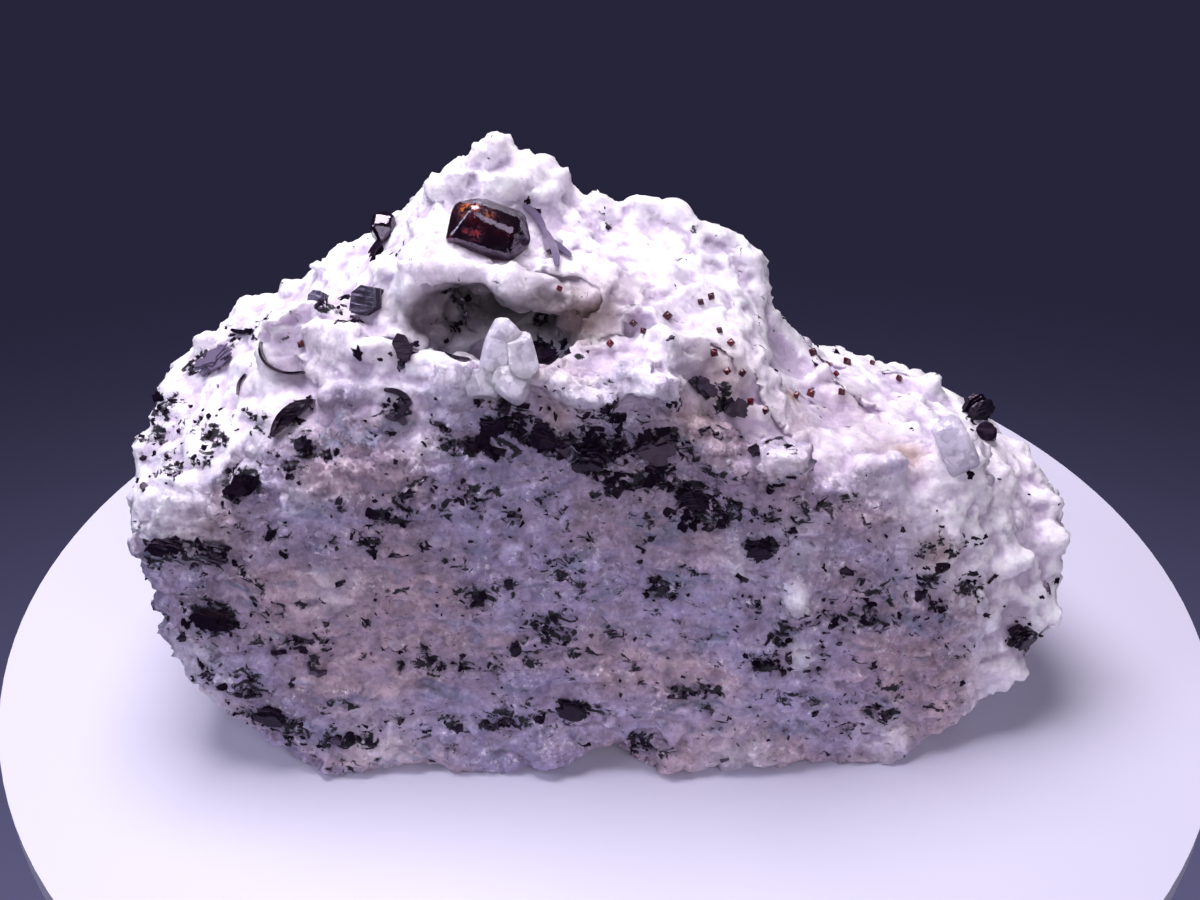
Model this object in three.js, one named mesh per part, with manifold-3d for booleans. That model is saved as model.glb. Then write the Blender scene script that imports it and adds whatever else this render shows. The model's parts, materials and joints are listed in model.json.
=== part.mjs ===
// Pyrochlore in matrix: a broken block of white, sugary albite rock that holds red-brown
// pyrochlore crystals and black biotite books.
// Millimetres, +Z up, the front fracture face towards -Y. The origin is under the middle of the
// bounding box, on the plane that the block's feet rest on.

import * as THREE from "three";
import { ConvexGeometry } from "three/addons/geometries/ConvexGeometry.js";
import { ConvexHull } from "three/addons/math/ConvexHull.js";
import { ImprovedNoise } from "three/addons/math/ImprovedNoise.js";
import { mergeVertices } from "three/addons/utils/BufferGeometryUtils.js";
import Module from "manifold-3d";

const wasm = await Module();
wasm.setup();

// ---------------------------------------------------------------- driving dimensions, mm

const FACE_FOOT = -13.1; // y at which the front fracture face meets the ground
const FACE_LEAN = 0.32; // how far that face leans back for each millimetre that it rises
const CELL = 1.35; // size of the facets on the rock
const BLEND = 1.4; // how softly the rock's main forms run into each other
const KNOB_BLEND = 0.5; // the same, for the lumps that stand on them
const WAVE = { height: 0.5, length: 7 }; // broad unevenness of a broken surface
const RIPPLE = { height: 0.3, length: 2.7 }; // fine unevenness of a broken surface
const GRAIN = { spacing: 1.9, height: 0.55 }; // the sugary grains that cover the upper slopes
const GRAIN_RADIUS = 0.55; // of a grain, as a share of their spacing
const WORN_GRAIN = 0.25; // how much of a grain's height is left on the fracture faces
const GRAINY = { from: 11, to: 15, lean: 0.18 }; // height over which grains come in, and its rise with y
const POCKET_GAP = 0.12; // clearance between a crystal and the rock that it grew in
const TINY_GAP = 0.06; // the same, for the smallest crystals
const SHORTEST_EDGE = 0.05; // edges of the rock shorter than this are drawn together
const SMALL_PYROCHLORE = { smallest: 0.42, largest: 0.66 }; // their lengths

// ---------------------------------------------------------------- random numbers and noise

const SCATTER = { i: 127.1, j: 311.7, k: 74.7, stretch: 43758.5453 };
const NOISE_PLACE = 31.7; // where in the noise the rock lies

/** A repeatable random number from 0 to 1 for each triple of whole numbers. */
function randomAt(i, j, k) {
  const mixed = Math.sin(i * SCATTER.i + j * SCATTER.j + k * SCATTER.k) * SCATTER.stretch;
  return mixed - Math.floor(mixed);
}

const noise = new ImprovedNoise();

/** Height of the unevenness at a point: a broad wave with a finer ripple on it. */
function unevenness(point) {
  return [WAVE, RIPPLE].reduce((height, layer) => {
    const [x, y, z] = point.toArray().map((value) => value / layer.length + NOISE_PLACE);
    return height + layer.height * noise.noise(x, y, z);
  }, 0);
}

/** How far a point is from the nearest grain's middle, as a share of the grains' spacing. */
function fromNearestGrain(point) {
  const place = point.clone().divideScalar(GRAIN.spacing);
  const home = place.clone().floor();
  let nearest = Infinity;
  for (let n = 0; n < 27; n += 1) {
    const i = home.x + (n % 3) - 1;
    const j = home.y + (Math.floor(n / 3) % 3) - 1;
    const k = home.z + Math.floor(n / 9) - 1;
    const middle = new THREE.Vector3(
      i + randomAt(i, j, k),
      j + randomAt(j, k, i + 19),
      k + randomAt(k, i + 7, j),
    );
    nearest = Math.min(nearest, place.distanceTo(middle));
  }
  return nearest;
}

// ---------------------------------------------------------------- the rock's main forms

/** A corner on the plane of the front face, with y worked out from the face's lean. */
const onFace = (x, z, proud = 0) => [x, FACE_FOOT + FACE_LEAN * z - proud, z];

const FORMS = {
  body: [
    onFace(-12, -1), onFace(-2, -1), onFace(8, -1), onFace(14, -1, -0.6),
    [-16, -12.4, 1.2], [-18.2, -11.3, 2], [-19.3, -10.4, 3], [-19.8, -10, 8],
    [-22, -9, 11.2],
    onFace(-15.5, 12.8), onFace(-11.5, 14.8), onFace(-5, 15.9), onFace(4.5, 15.4), onFace(9, 13.6),
    [14.5, -8.4, 12.2], [20, -9, 2.2], [22.6, -6, 6.3], [23, -4, 8], [21.2, -2, 10],
    [19, 1.5, 10.8], [19, 8, 4], [14, 12, 7.5], [-8, 13, 9], [-17, 11, 8.5], [-20.8, 4, 12.4],
    [-18, 8.5, 3], [-12, 11, -1], [13, 9, -1],
  ],
  leftSlope: [
    [-21.9, -8.6, 11.4], [-22.5, -6.5, 12], [-22, -2, 13.6], [-20, 3.2, 14.4], [-17.8, 4, 15.9],
    [-15, 4.4, 16.8], [-9.8, 4, 20.4], [-15.5, -8.6, 13], [-11.2, -7.6, 15.2], [-9.5, -4.5, 18.4],
    [-8, -6, 16.8], [-8, 9, 15], [-16, 9, 11], [-5, 0, 8], [-16, 0, 8],
  ],
  nodule: [
    [-16, -3.6, 16.2], [-15, -5.2, 16], [-13, -5.8, 16.2], [-11, -5.6, 16.8], [-10, -4.4, 17.6],
    [-14.4, -3, 18.2], [-12, -3.4, 18.8], [-10.2, -3, 18.8], [-13, 0, 17], [-14, -3, 10],
    [-11, -3, 10],
  ],
  peak: [
    [-9.7, 3.4, 20.6], [-8, 3.2, 22.8], [-6.4, 3.3, 24.2], [-4.2, 3.3, 24], [-2.2, 3.2, 23],
    [-1.4, 3, 22], [-9, -2.2, 20.5], [-5, -2.9, 20.3], [-0.8, -2.8, 20.2], [-8.5, 8.5, 18],
    [-1, 9, 18], [-9.4, 2, 8], [-1, 2, 8],
  ],
  terrace: [
    [-2, 3.2, 21.4], [2.4, 3.1, 21.8], [4.6, 3.1, 21.4], [7.3, 3, 19.2], [8.2, 3, 17.6],
    [8.4, 2.5, 15.4], [-1.6, -2.4, 20.2], [2.4, -2.2, 19.9], [-0.4, -4.8, 17.8], [4.6, -5, 18],
    [7, -4, 17.4], [-1, -6.6, 16.9], [4.4, -7.4, 16.2], [7.6, -6.8, 15], [7, 9, 14.5],
    [-2, 9, 15], [-2, -4, 8], [9, -2, 8], [6, 4, 8],
  ],
  sill: [
    [-9.6, -7.2, 16.2], [-5, -7.8, 16.4], [0, -7.8, 16.2], [-9.4, -4.2, 18.3], [-6.4, -4.6, 18.1],
    [-2.2, -4.8, 17.7], [0.6, -5, 17.6], [-9, -4, 8], [0, -4, 8], [-4, -1, 8],
  ],
  shoulder: [
    [8.7, 2, 15.3], [10, 4, 13.8], [13.6, 4.2, 12.8], [17, 3.8, 11.9], [18, 2.6, 11.1],
    [11.3, -3, 13.9], [9, -7.2, 14], [14, -7, 13], [18, -5.5, 11.6], [20.2, -3.4, 10.6],
    [10, 9, 10], [17, 8, 8], [9, 0, 5], [18, -6, 5], [16, 5, 5],
  ],
};

/** The hollow under the overhanging lip below the peak, and the shallow pits. */
const HOLLOWS = {
  cavity: [
    [-10, -4.8, 19.8], [-9, -6, 18.4], [-5, -6.8, 17.4], [-1, -6.6, 17.4], [1, -5.4, 18.9],
    [-8, -5, 21.1], [-4.4, -5, 20.9], [0.4, -4.6, 20.2], [-8, -0.2, 18.2], [-4.6, 2.2, 17.8],
    [-1, 0.6, 17.7], [-7.4, 1, 20.3], [-3.8, 2, 19.9], [0, -0.6, 19.6],
  ],
  archUnderneath: [
    [-2.6, -16, -1], [2.8, -16, -1], [-1.6, -16, 0.9], [1.8, -16, 0.9], [-3.4, 6, -1], [3.2, 5, -1],
    [-2, 4, 1.1], [2, 4, 1.1],
  ],
  sideArch: [
    [8.6, -2, -1], [8.4, 3, -1], [26, -3, -1], [26, 5, -1], [10, -0.6, 0.8], [10, 2, 0.8],
    [26, -2, 1.6], [26, 4, 1.6],
  ],
  backArch: [
    [-9, 4, -1], [-5, 3.4, -1], [-10, 18, -1], [-3, 18, -1], [-8, 5, 0.8], [-5.4, 5, 0.8],
    [-9, 18, 1.2], [-4, 18, 1.2],
  ],
};

/** Lumps of the rock with a place of their own: [x, y, z of the middle, radius]. */
const KNOBS = {
  summit: [
    [-5.4, 3.3, 24.2, 1.25], [-3.8, 3.2, 23.4, 1.15], [-2, 3.2, 22.6, 0.95], [-7.1, 2.8, 23, 1.0],
    [-7.9, 2.4, 21.8, 1.1], [-9, 3, 20.9, 0.9],
  ],
  terraceRim: [
    [3.7, 3, 21.3, 0.95], [1.9, 3.2, 21.2, 1.0], [6.5, 3, 19.5, 1.1], [7.9, 3, 18.4, 0.95],
    [0.2, 3.1, 21.2, 0.8],
  ],
  leftSkyline: [
    [-12.5, 3.5, 18.5, 0.9], [-13.7, 3.5, 17.4, 0.85], [-14.9, 3.5, 16.6, 0.9],
    [-17.7, 3.8, 15.5, 1.1], [-19.8, 3, 14.1, 0.9], [-21.4, -1, 12.9, 0.9], [-21.6, -4.6, 12.4, 0.8],
    [-10.7, 3.6, 19.7, 0.9],
  ],
  rightEdge: [
    [21.9, -3, 9.1, 0.9], [22.2, -5, 7.6, 0.95], [21.4, -6.2, 5.7, 0.9], [20.8, -8, 5.1, 0.95],
    [19.8, -0.2, 9.9, 0.8], [18.6, 0.6, 11.5, 0.9], [19.6, -9, 2.9, 0.9], [16.8, -10.4, 1.6, 0.9],
  ],
  lip: [
    [-7.6, -2.4, 21.2, 0.9], [-5.8, -2.7, 21.1, 0.9], [-4.2, -2.6, 20.9, 0.9], [-2.5, -2.8, 20.6, 1.1],
    [-1.4, -3.3, 19.5, 0.7], [0.2, -2.6, 20, 0.95], [-9, -2.6, 20.2, 0.9], [-7, -2, 19.9, 0.8],
  ],
  aroundTheHollow: [
    [-4.7, -6.4, 17.5, 1.1], [-4.3, -6.3, 18.3, 0.8], [-0.5, -6.6, 17, 0.9], [1.2, -5.2, 17.9, 0.9],
    [2.2, -5, 18.2, 1.05], [4, -4.8, 17.8, 1.15], [2.9, -6.2, 16.8, 1.0], [0.2, -7, 16.5, 0.95],
    [-9.6, -4.8, 18.4, 0.95], [-6.8, -6, 17.5, 0.8], [-8.2, -0.2, 18.6, 0.7], [-5.8, 1.8, 19, 0.8],
    [-2.8, 0.6, 18, 0.8],
  ],
  frontFace: [[8.2, -8, 14, 1.25], [8.6, -10.2, 9.1, 0.95], [17.2, -3.4, 11.8, 1.15]],
};

// ---------------------------------------------------------------- the rock as a field of distances

/** The smaller of two distances, rounded off where they are within a blend's width. */
function blended(a, b, blend) {
  const overlap = Math.max(blend - Math.abs(a - b), 0) / blend;
  return Math.min(a, b) - (overlap * overlap * blend) / 4;
}

/** A function that gives the distance from a point to a convex form, below zero inside it. */
function convexForm(corners) {
  const hull = new ConvexHull().setFromPoints(corners.map((corner) => new THREE.Vector3(...corner)));
  return (point) => Math.max(...hull.faces.map((face) => face.distanceToPoint(point)));
}

const forms = Object.values(FORMS).map(convexForm);
const hollows = Object.values(HOLLOWS).map(convexForm);
const knobs = Object.values(KNOBS)
  .flat()
  .map(([x, y, z, radius]) => ({ middle: new THREE.Vector3(x, y, z), radius }));

/** How high the grains stand at a point: in full on the upper slopes, and worn on the fractures below. */
function grainHeight(point) {
  const onSlope = THREE.MathUtils.smoothstep(point.z - GRAINY.lean * point.y, GRAINY.from, GRAINY.to);
  const share = THREE.MathUtils.lerp(WORN_GRAIN, 1, onSlope);
  return GRAIN.height * share * (GRAIN_RADIUS - fromNearestGrain(point));
}

/** The distance from a point to the rock's surface, below zero inside the rock. */
function rockDistance(point) {
  const smooth = forms.map((form) => form(point)).reduce((a, b) => blended(a, b, BLEND));
  const broken = smooth - unevenness(point) - grainHeight(point);
  const hollowed = hollows.reduce(
    (left, hollow) => -blended(-left, hollow(point), KNOB_BLEND),
    broken,
  );
  return knobs.reduce(
    (left, { middle, radius }) => blended(left, point.distanceTo(middle) - radius, KNOB_BLEND),
    hollowed,
  );
}

const FILLED_DEPTH = 0.1; // of a filled-in corner below the surface, as a share of a cell

/** A closed mesh of the surface where a distance is zero, with a facet for each cell's crossing. */
function surfaceOf(distanceAt, box, cell) {
  const counts = box.getSize(new THREE.Vector3()).divideScalar(cell).ceil().addScalar(1);
  const [nx, ny, nz] = counts.toArray();
  const number = (i, j, k) => i + nx * (j + ny * k);
  const place = (i, j, k) => new THREE.Vector3(i, j, k).multiplyScalar(cell).add(box.min);
  const distances = new Float32Array(nx * ny * nz);
  const everyPlace = function* (ni, nj, nk) {
    for (let k = 0; k < nk; k += 1) {
      for (let j = 0; j < nj; j += 1) {
        for (let i = 0; i < ni; i += 1) {
          yield [i, j, k];
        }
      }
    }
  };
  for (const [i, j, k] of everyPlace(nx, ny, nz)) {
    distances[number(i, j, k)] = distanceAt(place(i, j, k));
  }

  // Where only two opposite corners of a square are inside, the surface would touch itself along an
  // edge, so the other two corners are filled in.
  const sides = [[1, nx], [nx, nx * ny], [nx * ny, 1]];
  for (let filled = true; filled; ) {
    filled = false;
    for (const [i, j, k] of everyPlace(nx - 1, ny - 1, nz - 1)) {
      const first = number(i, j, k);
      for (const [u, v] of sides) {
        const square = [first, first + u, first + u + v, first + v];
        const [a, b, c, d] = square.map((id) => distances[id] < 0);
        if (a === c && b === d && a !== b) {
          for (const id of square.filter((outside) => distances[outside] >= 0)) {
            distances[id] = -FILLED_DEPTH * cell;
          }
          filled = true;
        }
      }
    }
  }

  // One point in each cell that the surface crosses: the mean of where it cuts the cell's edges.
  const corner = (n) => [n & 1, (n >> 1) & 1, (n >> 2) & 1];
  const pointOf = new Map();
  const points = [];
  for (const [i, j, k] of everyPlace(nx - 1, ny - 1, nz - 1)) {
    const cuts = [];
    for (let a = 0; a < 8; a += 1) {
      for (const b of [a | 1, a | 2, a | 4].filter((other) => other !== a)) {
        const [ai, aj, ak] = corner(a);
        const [bi, bj, bk] = corner(b);
        const from = distances[number(i + ai, j + aj, k + ak)];
        const to = distances[number(i + bi, j + bj, k + bk)];
        if (from < 0 !== to < 0) {
          const start = place(i + ai, j + aj, k + ak);
          cuts.push(start.lerp(place(i + bi, j + bj, k + bk), from / (from - to)));
        }
      }
    }
    if (cuts.length > 0) {
      const mean = cuts.reduce((sum, cut) => sum.add(cut), new THREE.Vector3());
      pointOf.set(number(i, j, k), points.length / 3);
      points.push(...mean.divideScalar(cuts.length).toArray());
    }
  }

  // One four-sided facet round each grid edge that the surface cuts, split into two triangles.
  const triangles = [];
  const steps = [
    [[1, 0, 0], [0, 1, 0], [0, 0, 1]],
    [[0, 1, 0], [0, 0, 1], [1, 0, 0]],
    [[0, 0, 1], [1, 0, 0], [0, 1, 0]],
  ];
  for (const [i, j, k] of everyPlace(nx - 1, ny - 1, nz - 1)) {
    for (const [[di, dj, dk], u, v] of steps) {
      const from = distances[number(i, j, k)];
      const to = distances[number(i + di, j + dj, k + dk)];
      if (from < 0 === to < 0) {
        continue;
      }
      const cells = [[0, 0], [1, 0], [1, 1], [0, 1]].map(([a, b]) =>
        number(...[i, j, k].map((start, axis) => start - a * u[axis] - b * v[axis])),
      );
      const ring = cells.map((cell) => pointOf.get(cell));
      const [a, b, c, d] = from < 0 ? ring : ring.reverse();
      triangles.push(a, b, c, a, c, d);
    }
  }
  const geometry = new THREE.BufferGeometry();
  geometry.setAttribute("position", new THREE.Float32BufferAttribute(points, 3));
  geometry.setIndex(triangles);
  return geometry;
}

// ---------------------------------------------------------------- solids and geometries

/** The manifold solid of a closed geometry. */
function solidOf(geometry) {
  const bare = geometry.clone();
  bare.deleteAttribute("normal");
  bare.deleteAttribute("uv");
  const welded = mergeVertices(bare, 1e-4);
  return new wasm.Manifold(
    new wasm.Mesh({
      numProp: 3,
      vertProperties: new Float32Array(welded.attributes.position.array),
      triVerts: new Uint32Array(welded.index.array),
    }),
  );
}

/** The geometry of a manifold solid. */
function geometryOf(solid) {
  const { vertProperties, triVerts } = solid.getMesh();
  const geometry = new THREE.BufferGeometry();
  geometry.setAttribute("position", new THREE.BufferAttribute(vertProperties, 3));
  geometry.setIndex(new THREE.BufferAttribute(triVerts, 1));
  return geometry;
}

// The cells lie at a slant, so that no row of facets follows the ground or the front face.
const slant = new THREE.Quaternion().setFromEuler(new THREE.Euler(0.5, 0.3, 0.6));
const room = new THREE.Box3(new THREE.Vector3(-30, -30, -18), new THREE.Vector3(30, 30, 42));
const slanted = surfaceOf((point) => rockDistance(point.applyQuaternion(slant)), room, CELL);
const [groundWidth, groundDepth] = [90, 20];
const groundBlock = new THREE.BoxGeometry(groundWidth, groundWidth, groundDepth);
const ground = solidOf(groundBlock.translate(0, 0, -groundDepth / 2));
const rock = solidOf(slanted.applyQuaternion(slant)).subtract(ground);

// ---------------------------------------------------------------- crystals

/** A closed surface without its very short edges: each is drawn together into one of its ends. */
function withoutShortEdges(geometry, shortest) {
  const { position } = geometry.attributes;
  const points = Array.from({ length: position.count }, (_, n) =>
    new THREE.Vector3().fromBufferAttribute(position, n),
  );
  const corners = [...geometry.index.array];
  const facesAt = points.map(() => new Set());
  corners.forEach((point, n) => facesAt[point].add(Math.floor(n / 3)));
  const cornersOf = (face) => corners.slice(3 * face, 3 * face + 3);
  const neighboursOf = (point) => new Set([...facesAt[point]].flatMap(cornersOf));
  const gone = new Set();
  for (let n = 0; n < corners.length; n += 1) {
    const face = Math.floor(n / 3);
    const [kept, dropped] = [corners[n], corners[3 * face + ((n + 1) % 3)]];
    if (gone.has(face) || points[kept].distanceTo(points[dropped]) >= shortest) {
      continue;
    }
    // The surface stays closed only where the two ends share no neighbours but the edge's own two.
    const around = neighboursOf(dropped);
    const shared = [...neighboursOf(kept)].filter((point) => around.has(point));
    if (shared.length !== 4) {
      continue;
    }
    for (const other of [...facesAt[dropped]]) {
      if (cornersOf(other).includes(kept)) {
        gone.add(other);
        cornersOf(other).forEach((point) => facesAt[point].delete(other));
      } else {
        corners[corners.indexOf(dropped, 3 * other)] = kept;
        facesAt[kept].add(other);
      }
    }
    facesAt[dropped].clear();
  }
  const tidy = geometry.clone();
  tidy.setIndex(corners.filter((_, n) => !gone.has(Math.floor(n / 3))));
  return tidy;
}

/** The convex geometry around a list of corners. */
const hullOf = (corners) => new ConvexGeometry(corners.map((corner) => new THREE.Vector3(...corner)));

/** A pyrochlore crystal: an octahedron drawn out along x into a ridge, with its tips worn flat. */
function octahedron({ length, width, height, ridge = 0, worn = 0 }) {
  const end = (length - ridge) / 2;
  const corners = [];
  for (const x of [-1, 1]) {
    for (const side of [-1, 1]) {
      corners.push([x * (ridge / 2 + end * (1 - worn)), (side * width * worn) / 2, 0]);
      corners.push([x * (ridge / 2 + end * (1 - worn)), 0, (side * height * worn) / 2]);
      corners.push([x * (ridge / 2 + end * worn), (side * width * (1 - worn)) / 2, 0]);
      corners.push([x * (ridge / 2 + end * worn), 0, (side * height * (1 - worn)) / 2]);
      for (const other of worn > 0 ? [-1, 1] : []) {
        corners.push([(x * ridge) / 2, (side * width * (1 - worn)) / 2, (other * height * worn) / 2]);
        corners.push([(x * ridge) / 2, (other * width * worn) / 2, (side * height * (1 - worn)) / 2]);
      }
    }
  }
  return [hullOf(corners)];
}

const SHEET = { sides: 6, shake: 0.25, leastReach: 0.82 }; // a mica sheet's outline

/** One six-sided mica sheet, with its corners shaken by a seed. */
function sheet({ length, width, thickness, seed }, [x, y, z] = [0, 0, 0]) {
  const corners = [];
  for (let n = 0; n < SHEET.sides; n += 1) {
    const angle = (n * 2 * Math.PI) / SHEET.sides + SHEET.shake * randomAt(seed, n, 1);
    const reach = 0.5 * THREE.MathUtils.lerp(SHEET.leastReach, 1, randomAt(seed, n, 2));
    for (const side of [-0.5, 0.5]) {
      corners.push([
        x + length * reach * Math.cos(angle),
        y + width * reach * Math.sin(angle),
        z + thickness * side,
      ]);
    }
  }
  return hullOf(corners);
}

/** The convex geometry around all the points of some parts. */
function hullAround(parts) {
  const points = parts.flatMap((part) => [...part.attributes.position.array]);
  return hullOf(Array.from({ length: points.length / 3 }, (_, n) => points.slice(3 * n, 3 * n + 3)));
}

/** A biotite book: two mica sheets, the upper one smaller and slid to one side. */
function book({ size: [length, width, thickness], seed }) {
  const lower = { length, width, thickness: 0.6 * thickness, seed };
  const upper = { length: 0.8 * length, width: 0.75 * width, thickness: 0.5 * thickness, seed: seed + 7 };
  return [
    sheet(lower, [0, 0, -0.2 * thickness]),
    sheet(upper, [0.08 * length, 0.07 * width, 0.25 * thickness]),
  ];
}

/** A biotite blade bent round an arc, as a chain of short straight pieces that share their ends. */
function bentBlade({ radius, width, thickness, sweep }) {
  const joints = 4;
  const parts = [];
  const end = (n) => {
    const angle = THREE.MathUtils.degToRad(sweep) * (n / joints - 0.5);
    const taper = 0.35 + 0.65 * Math.sin((Math.PI * (n + 0.35)) / (joints + 0.7));
    return [-0.5, 0.5].flatMap((out) =>
      [-0.5, 0.5].map((up) => [
        (radius + out * width * taper) * Math.sin(angle),
        (radius + out * width * taper) * Math.cos(angle) - radius,
        up * thickness,
      ]),
    );
  };
  for (let n = 0; n < joints; n += 1) {
    parts.push(hullOf([...end(n), ...end(n + 1)]));
  }
  return parts;
}

/** A convex part with a gap added on every side. */
function grown(part, gap) {
  part.computeBoundingBox();
  const middle = part.boundingBox.getCenter(new THREE.Vector3());
  const size = part.boundingBox.getSize(new THREE.Vector3());
  const growth = size.clone().addScalar(2 * gap).divide(size);
  return part.clone().translate(...middle.clone().negate()).scale(...growth).translate(...middle);
}

/** Where a crystal sits: the nearest point of the rock's surface, and the way out of it there. */
function seatOn(surface, place) {
  const spread = 1.2; // how wide a patch of the surface sets the way out
  const wanted = new THREE.Vector3(...place);
  const { position } = surface.attributes;
  const triangle = new THREE.Triangle();
  const onTriangle = new THREE.Vector3();
  const point = new THREE.Vector3();
  const outward = new THREE.Vector3();
  let nearest = Infinity;
  for (let n = 0; n < surface.index.count; n += 3) {
    const corners = [0, 1, 2].map((step) => surface.index.getX(n + step));
    triangle.setFromAttributeAndIndices(position, ...corners);
    triangle.closestPointToPoint(wanted, onTriangle);
    const away = onTriangle.distanceTo(wanted);
    if (away < nearest) {
      nearest = away;
      point.copy(onTriangle);
    }
    const weight = triangle.getArea() * Math.exp(-((away / spread) ** 2));
    outward.addScaledVector(triangle.getNormal(new THREE.Vector3()), weight);
  }
  return { point, outward: outward.normalize() };
}

const rockSurface = geometryOf(rock);
const specimen = new THREE.Group();
let matrixSolid = rock;

/**
 * Sets a crystal in the rock: cuts its pocket, and adds its mesh to the specimen. The pocket is the
 * crystal's own parts, or other convex parts around them, with a gap on every side.
 * turn swings it round the way out of the rock, and tilt leans its face towards the front, in degrees;
 * raise lifts its middle out of the surface.
 */
function setCrystal({ name, parts, material, pocket = parts, gap = POCKET_GAP }, lie) {
  const { at, turn = 0, tilt = 0, raise = 0 } = lie;
  const { point, outward } = seatOn(rockSurface, at);
  const across = new THREE.Vector3(1, 0, 0).projectOnPlane(outward).normalize();
  const upSlope = outward.clone().cross(across);
  const axes = new THREE.Matrix4().makeBasis(across, upSlope, outward);
  const leaning = new THREE.Matrix4().makeRotationX(THREE.MathUtils.degToRad(tilt));
  const turning = new THREE.Matrix4().makeRotationZ(THREE.MathUtils.degToRad(turn));
  const mesh = new THREE.Mesh(geometryOf(parts.map(solidOf).reduce((a, b) => a.add(b))), material);
  mesh.name = name;
  mesh.position.copy(point).addScaledVector(outward, raise);
  mesh.quaternion.setFromRotationMatrix(axes.multiply(leaning).multiply(turning));
  mesh.updateMatrix();
  for (const part of pocket) {
    matrixSolid = matrixSolid.subtract(solidOf(grown(part, gap).applyMatrix4(mesh.matrix)));
  }
  specimen.add(mesh);
}

const PYROCHLORE = new THREE.MeshStandardMaterial({ color: 0x3b100c, roughness: 0.12, metalness: 0 });
const BIOTITE = new THREE.MeshStandardMaterial({ color: 0x121217, roughness: 0.28, metalness: 0 });
const ALBITE = new THREE.MeshStandardMaterial({ color: 0xd9d0de, roughness: 0.55, metalness: 0 });

setCrystal(
  {
    name: "pyrochlore_main",
    parts: octahedron({ length: 4.2, width: 3.1, height: 2.9, ridge: 1.9, worn: 0.2 }),
    material: PYROCHLORE,
  },
  { at: [-5.25, -0.6, 21.5], turn: -19, tilt: 8, raise: 0.35 },
);
setCrystal(
  {
    name: "pyrochlore_left",
    parts: octahedron({ length: 2, width: 1.5, height: 1.5, ridge: 0.6, worn: 0.16 }),
    material: PYROCHLORE,
  },
  { at: [-10.1, 2.1, 20.7], turn: 70, tilt: 15, raise: 0.3 },
);

/** Places of the small pyrochlore crystals, from the lip over the terrace to the right shoulder. */
const SMALL_PLACES = [
  [-1.8, -3.5, 20.5], [1.5, -4.1, 18.9], [1.9, -4.6, 18.7], [3, -3.3, 18.9], [0.4, -5, 18.6],
  [4.6, -2, 19], [5.1, -1.5, 19], [5.4, -3.4, 18.3], [5.9, -4, 18], [5.1, -4.9, 18],
  [5.7, -5.5, 17.4], [6.3, -5.1, 17], [7.5, -5.9, 15.6], [6.8, -6.1, 16.2], [9, -3.5, 14.8],
  [10.5, 1.3, 14.5], [11.5, -0.1, 14.1], [12.3, 1.7, 13.7], [11.5, -1.8, 14], [13.7, 2.4, 13.2],
  [11.1, 0.5, 14.2], [9.9, -2.6, 14.4], [-13.6, -3.6, 17.7], [14.9, 1.3, 13],
];
SMALL_PLACES.forEach((at, n) => {
  const { smallest, largest } = SMALL_PYROCHLORE;
  const length = THREE.MathUtils.lerp(smallest, largest, randomAt(n, 3, 5));
  const crystal = {
    name: `pyrochlore_small_${String(n + 1).padStart(2, "0")}`,
    parts: octahedron({ length, width: 0.9 * length, height: 0.95 * length }),
    material: PYROCHLORE,
    gap: TINY_GAP,
  };
  setCrystal(crystal, { at, turn: 360 * randomAt(n, 8, 2), tilt: 30, raise: 0.08 });
});

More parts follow.
